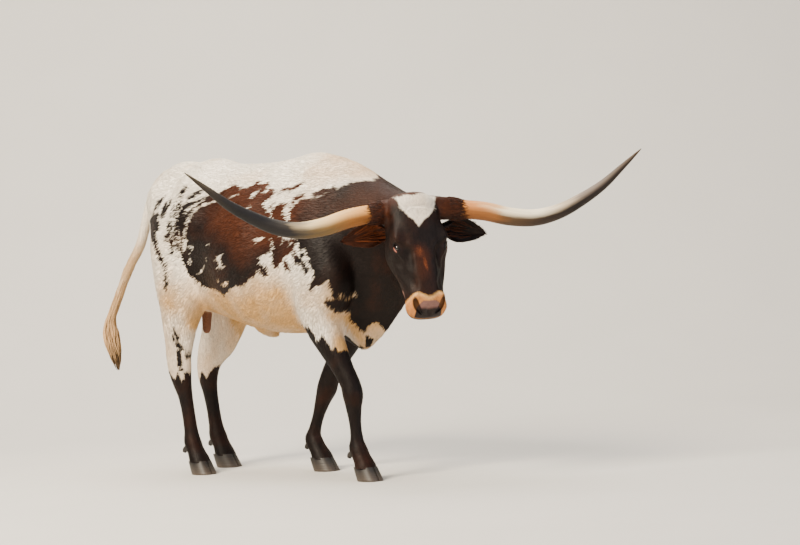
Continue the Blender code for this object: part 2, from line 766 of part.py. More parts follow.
def almond(name, centre, turn, half_length, half_height, depth):
    """A lens-shaped prism that cuts the opening between the lids."""
    outline = []
    for k in range(20):
        angle = 2 * math.pi * k / 20
        x = half_length * math.cos(angle)
        y = half_height * math.sin(angle) * abs(math.sin(angle)) ** 0.35
        outline.append((x, y))
    rings = []
    for z, grow in ((0, 0.75), (depth, 1.5)):
        ring = [turn @ Vector((x * grow, y * grow, z)) + Vector(centre) for x, y in outline]
        rings.append(ring)
    return skin_rings(name, rings)


def mouth_groove():
    """A thin wedge along the line between the lips, round the front of the muzzle from corner to corner."""
    table = resample(HEAD, 400)
    inside = table[(table[:, 0] > MOUTH_CORNER) & (table[:, 1] > MOUTH_LINE + 0.006)]
    inside = inside[inside[:, 2] < MOUTH_LINE - 0.004][::9]
    side = []
    for u, top, low, half_width, widest, top_round, low_round in inside:
        middle = low + (top - low) * widest
        upper = MOUTH_LINE > middle
        end, power = (top, top_round) if upper else (low, low_round)
        rise = min((MOUTH_LINE - middle) / (end - middle), 1)
        side.append((u, half_width * (1 - rise**power) ** (1 / power)))
    path = [(u, v) for u, v in side] + [(u, -v) for u, v in reversed(side)]
    rings = []
    for i, (u, v) in enumerate(path):
        before, after = path[max(i - 1, 0)], path[min(i + 1, len(path) - 1)]
        along = Vector((after[0] - before[0], after[1] - before[1], 0)).normalized()
        inwards = Vector((along.y, -along.x, 0))
        deep = MOUTH_DEPTH * min(i, len(path) - 1 - i, 6) / 6 + 0.001
        centre = Vector((u, v, MOUTH_LINE))
        up = Vector((0, 0, 1))
        rings.append(
            [
                centre + inwards * deep,
                centre + up * 0.0006 + inwards * (deep * 0.4),
                centre + up * MOUTH_WIDTH - inwards * 0.006,
                centre - up * MOUTH_WIDTH - inwards * 0.006,
                centre - up * 0.0006 + inwards * (deep * 0.4),
            ]
        )
    return skin_rings("mouth", rings)


def place_on_head(obj):
    """Moves an object from the head's own axes to its place."""
    obj.data.transform(head_frame())
    obj.data.update()
    return obj


def build_head():
    """The head with its brow, lids, nostrils and lips, and the two eyes."""
    pieces = [skull()]
    pieces += [boss(side) for side in (LEFT, RIGHT)]
    head = melt(join(pieces, "head"), HEAD_VOXEL, 4)
    sculpt(head, both_sides(HEAD_STROKES))
    relax(head, 3, lambda p: np.ones(len(p)))
    lids = []
    for side in (LEFT, RIGHT):
        u, v, w = EYE
        lids.append(ball("lid", (u, side * v, w), LID_RADII, gaze(side), 32, 20))
    head = melt(join([head, *lids], "head"), HEAD_VOXEL, 4)
    reduce(head, HEAD_TRIANGLES)
    eyes = []
    for side, name in ((LEFT, "left"), (RIGHT, "right")):
        u, v, w = EYE
        centre = (u, side * v, w)
        turn = gaze(side)
        opening = almond("almond", centre, turn, 0.0175, 0.0076, 0.05)
        boolean(head, opening, "DIFFERENCE")
        socket = ball("socket", centre, (EYE_RADIUS + GAP,) * 3, turn, 14, 9)
        boolean(head, socket, "DIFFERENCE")
        eyes.append(ball("eye_" + name, centre, (EYE_RADIUS,) * 3, turn, 14, 9))
    for side in (LEFT, RIGHT):
        path = [(u, side * v, w, *more) for u, v, w, *more in NOSTRIL_PATH]
        boolean(head, tube("nostril", path, 10, 12), "DIFFERENCE")
    boolean(head, mouth_groove(), "DIFFERENCE")
    head = largest(head)
    for obj in (head, *eyes):
        place_on_head(obj)
    return head, eyes


def build_horn(name, side, head_shape):
    """A horn along its curve, starting inside the boss."""
    table = resample(HORN_PATH, 27)
    spans = np.linalg.norm(np.diff(table[:, :3], axis=0), axis=1)
    run = np.concatenate(([0], np.cumsum(spans)))
    run /= run[-1]
    rows = []
    for (forward, out, rise), share in zip(table[:, :3], run):
        root = 0.92 + 0.08 * min(share / 0.25, 1)
        radius = HORN_RADIUS * root * max(1 - share**2.05, 0) ** 0.85 + 0.0022
        rows.append((*horn_place(forward, side * out, rise), radius))
    horn = tube(name, rows, 12, len(rows))
    return largest(boolean(horn, head_shape, "DIFFERENCE", keep=True))


def build_ear(name, side, head_shape):
    """A cupped leaf whose base rolls up into a tube."""
    table = resample(EAR, 13)
    level = Matrix.Rotation(TURN_ANGLE, 4, "Z")
    root = horn_place(EAR_ROOT[0], side * EAR_ROOT[1], EAR_ROOT[2])
    along = level @ Vector((EAR_LINE[0], side * EAR_LINE[1], EAR_LINE[2])).normalized()
    faces = level @ Vector((EAR_FACES[0], side * EAR_FACES[1], EAR_FACES[2]))
    faces = (faces - along * faces.dot(along)).normalized()
    across = along.cross(faces)
    arc = 8
    loops = []
    for share, half_width, wrap, thick in table:
        half_angle = math.radians(wrap)
        radius = half_width / (math.sin(half_angle) if wrap < 90 else 1)
        sag = -0.018 * share**2
        back = radius * math.cos(half_angle) if wrap < 90 else 0
        middle = root + along * (EAR_LENGTH * share) + faces * back
        middle += Vector((0, 0, sag))
        loop = []
        for k in range(arc):
            angle = half_angle * (2 * k / (arc - 1) - 1)
            reach = across * math.sin(angle) - faces * math.cos(angle)
            loop.append(middle + reach * radius)
        for k in reversed(range(arc)):
            angle = half_angle * (2 * k / (arc - 1) - 1) * 0.97
            reach = across * math.sin(angle) - faces * math.cos(angle)
            loop.append(middle + reach * (radius - thick))
        loops.append(loop)
    ear = skin_rings(name, loops)
    return largest(boolean(ear, head_shape, "DIFFERENCE", keep=True))


def build_claw(name, centre, turn, inner, scale=1.0):
    """One half of a hoof: flat below and towards its neighbour, sloping back from the toe."""
    outline = []
    for k in range(11):
        angle = math.pi * k / 10
        reach = CLAW_LENGTH * math.cos(angle)
        width = CLAW_WIDTH * math.sin(angle) ** 0.62
        outline.append((reach, width))
    outline += [(CLAW_LENGTH * x, 0) for x in (-0.5, 0.1, 0.6)]
    heights = (
        (0.0, 0.0, 0.94),
        (0.003, 0.000, 1.0),
        (0.022, -0.010, 0.98),
        (0.044, -0.021, 0.94),
        (CORONET - GAP, -0.029, 0.90),
    )
    rings = []
    for z, shift, grow in heights:
        ring = []
        for reach, width in outline:
            toe_in = 0.10 * reach if inner > 0 else -0.10 * reach
            y = inner * (CLAW_GAP / 2 + width * grow)
            spot = turn @ Vector(((reach * grow + shift) * scale, y * scale, 0))
            ring.append(Vector((centre[0] + spot.x, centre[1] + spot.y, z)))
        rings.append(ring)
    return skin_rings(name, rings)


def cut_levels(body):
    """The body sliced into torso, neck and legs by gaps, and cut off level above the hooves."""
    cutters = [box("floor_cut", (0, 0, CORONET - 0.5), (4, 4, 1))]
    lean = Matrix.Rotation(math.atan2(-0.20, 0.82), 4, "Y")
    cutters.append(box("neck_cut", (0.565, 0, 1.01), (GAP, 1.2, 1.02), lean))
    for name, (x, y, z, reach) in LEG_CUTS.items():
        side = LEGS[name][1]
        cutters.append(box("leg_cut", (x, side * y, z), (reach, 0.16, GAP)))
    return boolean(body, join(cutters, "cutters"), "DIFFERENCE")


def name_pieces(parts):
    """Names the body's slices by where each of them lies."""
    named = {}
    for part in parts:
        centre = centre_of(part)
        if len(part.data.vertices) < 40:
            bpy.data.objects.remove(part)
            continue
        if centre.z < 0.5:
            kind = "foreleg" if centre.x > 0 else "hindleg"
            part.name = kind + ("_left" if centre.y > 0 else "_right")
        else:
            part.name = "neck" if centre.x > 0.6 else "torso"
        named[part.name] = part
    return named


def coronet_centre(leg_piece):
    """The middle of the leg's flat lower end."""
    ends = [v.co for v in leg_piece.data.vertices if v.co.z < CORONET + 0.0005]
    low = Vector((min(p.x for p in ends), min(p.y for p in ends), 0))
    high = Vector((max(p.x for p in ends), max(p.y for p in ends), 0))
    return (low + high) / 2


def build_feet(named):
    """Two claws and two dewclaws on every leg."""
    for name, (stations, side) in LEGS.items():
        centre = coronet_centre(named[name])
        turn = Matrix.Rotation(math.radians(-side * TOES_OUT * -1), 4, "Z")
        limb = name.replace("leg", "claw")
        shape = swollen(named[name], GAP)
        for inner, place in ((side, "outer"), (-side, "inner")):
            base = centre + Vector((0.026, 0, 0))
            build_claw(limb + "_" + place, base, turn, inner)
            dew = Vector((centre.x - 0.068, centre.y + inner * 0.021, 0.116))
            root = dew + Vector((0.040, 0, 0.016))
            tip = dew + Vector((-0.008, inner * 0.003, -0.016))
            rows = [(*root, 0.014), (*dew, 0.0135), (*tip, 0.0085)]
            spur = tube(name.replace("leg", "dewclaw") + "_" + place, rows, 8, 4)
            largest(boolean(spur, shape, "DIFFERENCE", keep=True))
        bpy.data.objects.remove(shape)


def switch_at(share):
    """The middle line of the switch and its radius at a share of its length."""
    rows = resample(SWITCH_PATH, 61)
    row = rows[round(min(max(share, 0), 1) * 60)]
    ahead = rows[min(round(share * 60) + 2, 60)] - rows[max(round(share * 60) - 2, 0)]
    return Vector(row[:3]), row[3], Vector(ahead[:3]).normalized()


def build_lock(start, end, reach, angle, rng):
    """One flat tapered lock: it leaves the core, bends down along the switch and ends in a point."""
    end = min(end + rng.uniform(-0.08, 0.06), 1)
    drift = rng.uniform(-0.25, 0.25)
    wide_share = rng.uniform(0.85, 1.1)
    rings = []
    steps = 6
    for i in range(steps):
        t = i / (steps - 1)
        middle, radius, along = switch_at(start + (end - start) * t)
        turn = angle + drift * t
        side = along.cross(Vector((math.cos(turn), math.sin(turn), 0))).normalized()
        out = side.cross(along).normalized()
        leave = math.sin(min(t * 1.6, 1) * math.pi / 2)
        off = 0.006 * (1 - leave) + radius * reach * leave
        wide = LOCK_WIDTH * wide_share * (0.55 + 0.45 * leave) * (0.95 * (1 - t**2.4) + 0.05)
        thick = LOCK_THICK * (0.92 * (1 - t**3) + 0.08)
        centre = middle + out * off
        rings.append(
            [centre + side * wide, centre + out * thick, centre - side * wide, centre - out * thick]
        )
    return skin_rings("lock", rings)


def fuse(core, pieces):
    """The core and the pieces rooted in it made one closed surface."""
    group = bpy.data.collections.new("pieces")
    for piece in pieces:
        group.objects.link(piece)
    modifier = core.modifiers.new("fuse", "BOOLEAN")
    modifier.operation = "UNION"
    modifier.solver = "EXACT"
    modifier.operand_type = "COLLECTION"
    modifier.collection = group
    apply_modifiers(core)
    for piece in pieces:
        bpy.data.objects.remove(piece)
    bpy.data.collections.remove(group)
    return largest(core)


def build_switch():
    """The switch of hair at the tail's end: tiers of locks round a short core, the topmost outside."""
    rng = np.random.default_rng(LOCK_SEED)
    rows = []
    for t in np.linspace(0, 1, 6):
        middle = switch_at(CORE_SHARE * t)[0]
        rows.append((*middle, CORE_RADII[0] + (CORE_RADII[1] - CORE_RADII[0]) * t))
    core = tube("tail_switch", rows, 8, 6)
    locks = []
    for tier, (count, start, end, reach) in enumerate(LOCK_TIERS):
        for i in range(count):
            angle = 2 * math.pi * (i + 0.5 * tier) / count + rng.uniform(-0.12, 0.12)
            first = start + rng.uniform(-0.02, 0.03)
            locks.append(build_lock(first, end, reach, angle, rng))
    return fuse(core, locks)


def build_tail(body_shape):
    """The tail's bare length and the switch of hair at its end."""
    table = resample(TAIL_PATH, 24)
    tail = tube("tail", [tuple(row) for row in table], 10, 20)
    switch = build_switch()
    largest(boolean(switch, swollen(tail, 2 * GAP), "DIFFERENCE"))
    largest(boolean(tail, body_shape, "DIFFERENCE", keep=True))


def build_pouch(body_shape):
    """The small pouch between the thighs and the fold of skin at the navel."""
    pouch = tube("groin_pouch", POUCH_PATH, 12, 10)
    largest(boolean(pouch, body_shape, "DIFFERENCE", keep=True))
    sheath = tube("navel_sheath", SHEATH_PATH, 12, 10)
    largest(boolean(sheath, body_shape, "DIFFERENCE", keep=True))


def centre_all():
    """Moves every piece together, so that the origin lies under the middle of the whole."""
    for obj in bpy.data.objects:
        obj.data.transform(Matrix.Translation(TO_ORIGIN))
        obj.data.update()


def paint(names):
    """Each node's own plain material."""
    for name, colour in names.items():
        obj = bpy.data.objects[name]
        material = bpy.data.materials.new(name)
        material.use_nodes = True
        shader = material.node_tree.nodes["Principled BSDF"]
        shader.inputs["Base Color"].default_value = (*colour, 1)
        shader.inputs["Roughness"].default_value = 0.7
        obj.data.materials.clear()
        obj.data.materials.append(material)


def colour_of(name):
    """A node's plain colour, by the first part of its name."""
    for start, colour in COLOURS.items():
        if name.startswith(start):
            return colour
    return COLOURS["torso"]


def main():
    clear_scene()
    body = fused_body()
    reduce(body, BODY_TRIANGLES)
    head, eyes = build_head()
    head_shape = swollen(head, GAP)
    for word, side in (("left", LEFT), ("right", RIGHT)):
        build_horn("horn_" + word, side, head_shape)
        build_ear("ear_" + word, side, head_shape)
    body_shape = swollen(body, GAP)
    build_tail(body_shape)
    build_pouch(body_shape)
    bpy.data.objects.remove(body_shape)
    boolean(body, head_shape, "DIFFERENCE")
    named = name_pieces(loose_parts(cut_levels(body)))
    build_feet(named)
    centre_all()
    paint({obj.name: colour_of(obj.name) for obj in bpy.data.objects})


main()
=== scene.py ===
"""Looks of a texas longhorn steer, walking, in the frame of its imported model.

Metres in the frame of the model: +X to the animal's front, +Y to its left, +Z up. The animal is first shaped
about its own middle and then moved by TO_ORIGIN, as its solids were. The hide is one skin over trunk, neck,
head, ears, legs and tail. A coat of tufts lies on it. Horns, eyes, hooves and the tail's switch stand apart.
"""

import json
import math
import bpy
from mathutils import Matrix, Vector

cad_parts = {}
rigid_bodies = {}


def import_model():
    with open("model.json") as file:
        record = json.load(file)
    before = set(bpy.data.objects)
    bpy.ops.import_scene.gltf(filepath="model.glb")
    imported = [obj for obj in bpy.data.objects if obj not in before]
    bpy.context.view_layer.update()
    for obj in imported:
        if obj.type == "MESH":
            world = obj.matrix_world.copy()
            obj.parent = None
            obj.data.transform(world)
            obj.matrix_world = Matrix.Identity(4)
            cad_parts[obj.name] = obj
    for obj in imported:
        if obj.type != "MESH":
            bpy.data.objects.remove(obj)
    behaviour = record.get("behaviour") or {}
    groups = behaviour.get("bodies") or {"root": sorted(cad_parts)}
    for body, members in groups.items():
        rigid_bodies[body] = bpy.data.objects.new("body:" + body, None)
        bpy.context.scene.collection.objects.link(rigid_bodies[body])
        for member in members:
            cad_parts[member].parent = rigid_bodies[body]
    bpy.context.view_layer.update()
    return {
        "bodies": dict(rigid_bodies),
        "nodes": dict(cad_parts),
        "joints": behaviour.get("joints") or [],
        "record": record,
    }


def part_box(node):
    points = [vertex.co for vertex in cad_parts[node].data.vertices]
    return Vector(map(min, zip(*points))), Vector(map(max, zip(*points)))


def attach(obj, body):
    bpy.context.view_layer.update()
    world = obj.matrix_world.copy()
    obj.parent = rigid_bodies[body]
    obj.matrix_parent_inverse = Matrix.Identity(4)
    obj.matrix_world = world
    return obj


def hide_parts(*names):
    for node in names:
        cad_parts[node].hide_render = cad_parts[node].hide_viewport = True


bl_info = {
    "name": "Texas longhorn",
    "version": (1, 0, 0),
    "blender": (4, 5, 0),
    "location": "3D View > Sidebar > Longhorn",
    "description": "Builds the hide, coat, horns, eyes, hooves and switch of a texas longhorn steer",
    "category": "Object",
}

from types import SimpleNamespace

import bmesh
import bpy
import numpy as np
from bpy.props import FloatProperty, FloatVectorProperty, IntProperty, PointerProperty
from bpy.types import Operator, Panel, PropertyGroup
from mathutils import Matrix, Vector
from mathutils.kdtree import KDTree

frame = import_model()
BODY = "root"

# Move that brings the middle of the whole footprint, horns and tail included, to the origin
TO_ORIGIN = (-0.3811, 0.1969, 0.0)
# Neck: where its turn starts and ends along the straight spine, and how far it turns to the right
TURN_START = 0.68
TURN_END = 1.04
TURN_ANGLE = math.radians(-38.5)
# Head: place of the poll on the straight spine, and the tilt of the face from the vertical
POLL_X = 1.178
POLL_Z = 1.242
FACE_TILT = math.radians(22)
# The face looks a little less far round than the horns' line does
FACE_TWIST = math.radians(10)
# How far the face lies to the head's right of the poll
FACE_SHIFT = -0.009
# Trunk and neck stations, rear to front: x and z of the topline, x and z of the underline, half width,
# height of the widest level as a share of the depth, and roundness of the upper and the lower half,
# where 2 is an ellipse and less is narrower
TRUNK = (
    (-0.738, 1.245, -0.712, 1.09, 0.03, 0.5, 2.0, 2.0),
    (-0.722, 1.304, -0.69, 0.985, 0.078, 0.5, 2.0, 2.0),
    (-0.69, 1.362, -0.66, 0.9, 0.122, 0.52, 1.9, 2.0),
    (-0.62, 1.415, -0.612, 0.825, 0.172, 0.54, 1.7, 2.0),
    (-0.53, 1.44, -0.535, 0.775, 0.214, 0.58, 1.6, 2.0),
    (-0.43, 1.428, -0.44, 0.74, 0.242, 0.62, 1.7, 2.0),
    (-0.31, 1.444, -0.32, 0.72, 0.256, 0.62, 1.8, 2.1),
    (-0.2, 1.414, -0.18, 0.688, 0.262, 0.52, 2.0, 2.2),
    (-0.04, 1.408, -0.02, 0.65, 0.292, 0.46, 2.0, 2.2),
    (0.12, 1.414, 0.12, 0.636, 0.298, 0.44, 2.0, 2.2),
    (0.24, 1.432, 0.25, 0.636, 0.278, 0.44, 1.8, 2.1),
    (0.33, 1.449, 0.37, 0.63, 0.25, 0.46, 1.7, 2.0),
    (0.43, 1.432, 0.47, 0.6, 0.226, 0.5, 1.8, 1.7),
    (0.53, 1.404, 0.56, 0.558, 0.198, 0.56, 1.9, 1.5),
    (0.63, 1.362, 0.64, 0.59, 0.164, 0.62, 1.9, 1.3),
    (0.74, 1.306, 0.725, 0.648, 0.132, 0.66, 1.9, 1.2),
    (0.86, 1.258, 0.815, 0.73, 0.11, 0.66, 1.9, 1.2),
    (0.98, 1.24, 0.905, 0.815, 0.098, 0.62, 2.0, 1.4),
    (1.08, 1.22, 0.985, 0.895, 0.088, 0.56, 2.0, 1.8),
    (1.125, 1.185, 1.06, 0.97, 0.05, 0.5, 2.0, 2.0),
)
# Head stations from the poll to the nose: distance down the face, height of the face line and of the jaw
# line, half width, widest level as a share of the depth from the jaw, and roundness of face and jaw
HEAD = (
    (-0.03, -0.07, -0.12, 0.045, 0.5, 2.0, 2.0),
    (-0.02, -0.035, -0.15, 0.082, 0.52, 2.0, 2.0),
    (0.01, -0.01, -0.185, 0.106, 0.56, 2.2, 2.0),
    (0.05, 0.0, -0.215, 0.116, 0.6, 2.5, 2.0),
    (0.1, 0.004, -0.243, 0.12, 0.62, 2.7, 1.9),
    (0.15, 0.004, -0.262, 0.123, 0.64, 2.7, 1.8),
    (0.2, 0.001, -0.27, 0.126, 0.62, 2.6, 1.8),
    (0.25, -0.003, -0.262, 0.12, 0.58, 2.5, 1.9),
    (0.31, -0.01, -0.236, 0.104, 0.5, 2.4, 2.0),
    (0.37, -0.018, -0.206, 0.09, 0.46, 2.4, 2.2),
    (0.42, -0.026, -0.18, 0.082, 0.46, 2.4, 2.3),
    (0.45, -0.035, -0.168, 0.084, 0.46, 2.4, 2.4),
    (0.476, -0.05, -0.162, 0.089, 0.46, 2.5, 2.4),
    (0.498, -0.072, -0.156, 0.08, 0.44, 2.5, 2.3),
    (0.512, -0.094, -0.149, 0.064, 0.42, 2.4, 2.2),
    (0.52, -0.11, -0.138, 0.036, 0.42, 2.0, 2.0),
)
# Legs as stations from the top down: x, y towards the outside, z, half depth fore and aft, half width
FORELEG_REACHING = (
    (0.4, 0.12, 1.16, 0.12, 0.06),
    (0.44, 0.16, 1.02, 0.165, 0.085),
    (0.5, 0.172, 0.88, 0.16, 0.092),
    (0.47, 0.172, 0.76, 0.125, 0.082),
    (0.478, 0.16, 0.67, 0.092, 0.07),
    (0.52, 0.152, 0.58, 0.068, 0.057),
    (0.57, 0.148, 0.49, 0.051, 0.046),
    (0.606, 0.145, 0.425, 0.048, 0.044),
    (0.618, 0.144, 0.375, 0.049, 0.046),
    (0.618, 0.143, 0.32, 0.038, 0.037),
    (0.621, 0.142, 0.25, 0.029, 0.029),
    (0.625, 0.141, 0.185, 0.031, 0.031),
    (0.627, 0.14, 0.145, 0.043, 0.04),
    (0.648, 0.14, 0.102, 0.04, 0.042),
    (0.668, 0.14, 0.06, 0.047, 0.051),
    (0.684, 0.14, 0.02, 0.05, 0.054),
)
FORELEG_TRAILING = (
    (0.4, 0.12, 1.16, 0.12, 0.06),
    (0.43, 0.16, 1.02, 0.165, 0.085),
    (0.47, 0.172, 0.88, 0.16, 0.092),
    (0.4, 0.172, 0.76, 0.125, 0.082),
    (0.35, 0.16, 0.67, 0.092, 0.07),
    (0.292, 0.152, 0.58, 0.068, 0.057),
    (0.23, 0.148, 0.49, 0.051, 0.046),
    (0.19, 0.145, 0.425, 0.048, 0.044),
    (0.168, 0.144, 0.375, 0.049, 0.046),
    (0.138, 0.143, 0.32, 0.038, 0.037),
    (0.105, 0.142, 0.25, 0.029, 0.029),
    (0.078, 0.141, 0.185, 0.031, 0.031),
    (0.068, 0.14, 0.145, 0.043, 0.04),
    (0.092, 0.14, 0.102, 0.04, 0.042),
    (0.118, 0.14, 0.06, 0.047, 0.051),
    (0.136, 0.14, 0.02, 0.05, 0.054),
)
HINDLEG_RIGHT = (
    (-0.44, 0.12, 1.24, 0.15, 0.075),
    (-0.455, 0.15, 1.08, 0.16, 0.095),
    (-0.44, 0.166, 0.93, 0.146, 0.095),
    (-0.432, 0.17, 0.8, 0.14, 0.082),
    (-0.458, 0.164, 0.7, 0.112, 0.062),
    (-0.476, 0.158, 0.61, 0.09, 0.048),
    (-0.488, 0.154, 0.545, 0.077, 0.041),
    (-0.488, 0.151, 0.485, 0.07, 0.041),
    (-0.48, 0.149, 0.425, 0.055, 0.038),
    (-0.464, 0.148, 0.36, 0.04, 0.032),
    (-0.45, 0.147, 0.28, 0.035, 0.03),
    (-0.44, 0.146, 0.2, 0.036, 0.032),
    (-0.434, 0.146, 0.15, 0.043, 0.04),
    (-0.414, 0.146, 0.105, 0.04, 0.042),
    (-0.392, 0.146, 0.06, 0.047, 0.051),
    (-0.374, 0.146, 0.02, 0.05, 0.054),
)
HINDLEG_LEFT = (
    (-0.45, 0.12, 1.24, 0.15, 0.075),
    (-0.46, 0.15, 1.08, 0.16, 0.095),
    (-0.452, 0.166, 0.93, 0.15, 0.095),
    (-0.47, 0.17, 0.8, 0.165, 0.082),
    (-0.505, 0.164, 0.7, 0.14, 0.062),
    (-0.548, 0.158, 0.61, 0.12, 0.048),
    (-0.59, 0.154, 0.545, 0.094, 0.041),
    (-0.618, 0.151, 0.485, 0.072, 0.041),
    (-0.626, 0.149, 0.425, 0.06, 0.038),
    (-0.617, 0.148, 0.36, 0.044, 0.032),
    (-0.602, 0.147, 0.28, 0.037, 0.03),
    (-0.588, 0.146, 0.2, 0.038, 0.032),
    (-0.578, 0.146, 0.15, 0.045, 0.04),
    (-0.556, 0.146, 0.105, 0.041, 0.042),
    (-0.534, 0.146, 0.06, 0.047, 0.051),
    (-0.516, 0.146, 0.02, 0.05, 0.054),
)
RIGHT = -1
LEFT = 1
LEGS = {
    "foreleg_right": (FORELEG_REACHING, RIGHT),
    "foreleg_left": (FORELEG_TRAILING, LEFT),
    "hindleg_right": (HINDLEG_RIGHT, RIGHT),
    "hindleg_left": (HINDLEG_LEFT, LEFT),
}
# Strokes on the trunk and legs, given for the left side: centre, radii, and amount outwards
BODY_STROKES = (
    ((0.38, 0.21, 1.26), (0.14, 0.16, 0.22), 0.014),
    ((0.47, 0.22, 1.06), (0.14, 0.16, 0.22), 0.012),
    ((0.585, 0.19, 0.87), (0.15, 0.15, 0.16), 0.014),
    ((0.39, 0.26, 0.88), (0.17, 0.14, 0.2), 0.018),
    ((0.21, 0.27, 1.02), (0.12, 0.16, 0.34), -0.02),
    ((-0.31, 0.23, 1.33), (0.16, 0.14, 0.13), 0.034),
    ((-0.15, 0.23, 1.23), (0.18, 0.16, 0.15), -0.028),
    ((-0.24, 0.26, 0.93), (0.16, 0.16, 0.22), -0.02),
    ((-0.65, 0.09, 1.27), (0.13, 0.11, 0.12), 0.026),
    ((-0.5, 0.18, 1.33), (0.16, 0.14, 0.13), -0.02),
    ((-0.45, 0.25, 1.13), (0.16, 0.14, 0.17), 0.014),
    ((-0.31, 0.23, 0.83), (0.14, 0.14, 0.16), 0.02),
    ((0.72, 0.13, 1.0), (0.22, 0.14, 0.12), -0.012),
)
EYE = (0.222, 0.097, -0.049)
EYE_RADIUS = 0.0205
LID_RADII = (0.0345, 0.025, 0.0233)
MOUTH_LINE = -0.126
MOUTH_CORNER = 0.392
MOUTH_DEPTH = 0.005
MOUTH_WIDTH = 0.0028
HEAD_STROKES = (
    ((0.176, 0.112, -0.016), (0.062, 0.046, 0.04), (0, 0.014, 0.01)),
    ((0.228, 0.118, -0.056), (0.08, 0.06, 0.07), (0, 0.008, 0)),
    ((0.105, 0.125, -0.075), (0.06, 0.06, 0.055), (0, -0.014, 0)),
    ((0.3, 0.088, -0.1), (0.11, 0.045, 0.03), (0, 0.01, 0)),
    ((0.272, 0.1, -0.062), (0.045, 0.04, 0.03), (0, -0.01, 0)),
    ((0.19, 0.118, -0.01), (0.03, 0.03, 0.03), (0.003, 0.002, 0.008)),
    ((0.204, 0.092, 0.0), (0.03, 0.03, 0.03), (0.003, 0, 0.008)),
    ((0.222, 0.066, 0.004), (0.03, 0.028, 0.03), (0.003, 0, 0.007)),
    ((0.24, 0.044, 0.004), (0.03, 0.024, 0.03), (0.002, 0, 0.004)),
    ((0.258, 0.066, -0.004), (0.034, 0.026, 0.03), (0, 0, -0.01)),
    ((0.34, 0.08, -0.055), (0.11, 0.05, 0.034), (0, -0.012, 0)),
    ((0.3, 0.078, -0.018), (0.11, 0.036, 0.036), (0, -0.012, -0.01)),
    ((0.39, 0.066, -0.034), (0.06, 0.032, 0.03), (0, -0.009, -0.006)),
    ((0.2, 0.095, -0.19), (0.1, 0.07, 0.07), (0, 0.012, 0)),
    ((0.34, 0.075, -0.165), (0.08, 0.045, 0.045), (0, -0.01, 0)),
    ((0.446, 0.064, -0.046), (0.036, 0.03, 0.034), (0.004, 0.008, 0.008)),
    ((0.446, 0.084, -0.105), (0.055, 0.035, 0.028), (0, 0.006, 0)),
    ((0.456, 0.066, -0.158), (0.055, 0.045, 0.024), (0, -0.012, 0.004)),
    ((0.496, 0.0, -0.08), (0.036, 0.018, 0.036), (-0.004, 0, -0.004)),
)
NOSTRIL_PATH = (
    (0.508, 0.03, -0.093, 0.0045),
    (0.499, 0.038, -0.083, 0.0085),
    (0.487, 0.049, -0.073, 0.0115),
    (0.473, 0.057, -0.062, 0.012),
    (0.46, 0.061, -0.053, 0.01),
    (0.447, 0.06, -0.048, 0.006),
)
# Horns, from the poll: forwards, outwards and up, and the radius at the root
HORN_PATH = (
    (-0.07, 0.1, -0.068),
    (-0.058, 0.189, -0.075),
    (-0.041, 0.295, -0.09),
    (-0.028, 0.4, -0.118),
    (-0.019, 0.507, -0.128),
    (-0.013, 0.613, -0.106),
    (-0.006, 0.711, -0.06),
    (0.0, 0.804, -0.003),
    (0.002, 0.888, 0.066),
    (-0.005, 0.98, 0.142),
)
HORN_RADIUS = 0.0415
# The haired bosses that carry the horns, in the same axes, with their radii
BOSS_PATH = (
    (-0.075, 0.0, -0.06, 0.05),
    (-0.074, 0.05, -0.062, 0.051),
    (-0.072, 0.1, -0.067, 0.05),
    (-0.065, 0.14, -0.071, 0.0485),
    (-0.06, 0.172, -0.074, 0.046),
    (-0.057, 0.192, -0.076, 0.043),
    (-0.056, 0.2, -0.077, 0.036),
)
# Ears, from the poll, and their stations: share of the length, half width, wrap in degrees, thickness
EAR_ROOT = (-0.075, 0.085, -0.155)
EAR_LINE = (-0.07, 0.19, -0.012)
EAR_FACES = (0.9, 0.25, -0.35)
EAR_LENGTH = 0.24
EAR = (
    (0.0, 0.02, 150, 0.009),
    (0.14, 0.028, 142, 0.008),
    (0.28, 0.042, 112, 0.007),
    (0.42, 0.055, 82, 0.006),
    (0.56, 0.056, 68, 0.006),
    (0.7, 0.047, 60, 0.005),
    (0.84, 0.032, 54, 0.005),
    (0.94, 0.018, 50, 0.004),
    (1.0, 0.006, 46, 0.004),
)
CLAW_LENGTH = 0.057
CLAW_WIDTH = 0.047
CLAW_GAP = 0.007
TOES_OUT = 4
# Tail, switch, pouch and navel fold: points and radii, the last one fore and aft
TAIL_PATH = (
    (-0.58, 0.0, 1.372, 0.04),
    (-0.65, -0.004, 1.364, 0.038),
    (-0.712, -0.022, 1.32, 0.03),
    (-0.742, -0.048, 1.24, 0.025),
    (-0.752, -0.08, 1.14, 0.024),
    (-0.77, -0.104, 1.05, 0.0235),
    (-0.815, -0.126, 0.968, 0.022),
    (-0.853, -0.143, 0.888, 0.02),
    (-0.89, -0.157, 0.801, 0.0185),
    (-0.919, -0.168, 0.735, 0.0175),
)
SWITCH_PATH = (
    (-0.9195, -0.1682, 0.7345, 0.02),
    (-0.93, -0.173, 0.69, 0.032),
    (-0.928, -0.174, 0.64, 0.04),
    (-0.917, -0.172, 0.58, 0.039),
    (-0.907, -0.169, 0.525, 0.03),
    (-0.9, -0.166, 0.475, 0.012),
)
POUCH_PATH = (
    (-0.44, 0.0, 0.8, 0.026),
    (-0.447, 0.0, 0.74, 0.024),
    (-0.453, 0.0, 0.69, 0.0215),
    (-0.456, 0.0, 0.655, 0.0185),
    (-0.457, 0.0, 0.637, 0.01),
)
SHEATH_PATH = (
    (-0.15, 0.0, 0.715, 0.026),
    (-0.085, 0.0, 0.672, 0.031),
    (-0.03, 0.0, 0.648, 0.028),
    (0.006, 0.0, 0.635, 0.017),
    (0.02, 0.0, 0.63, 0.006),
)

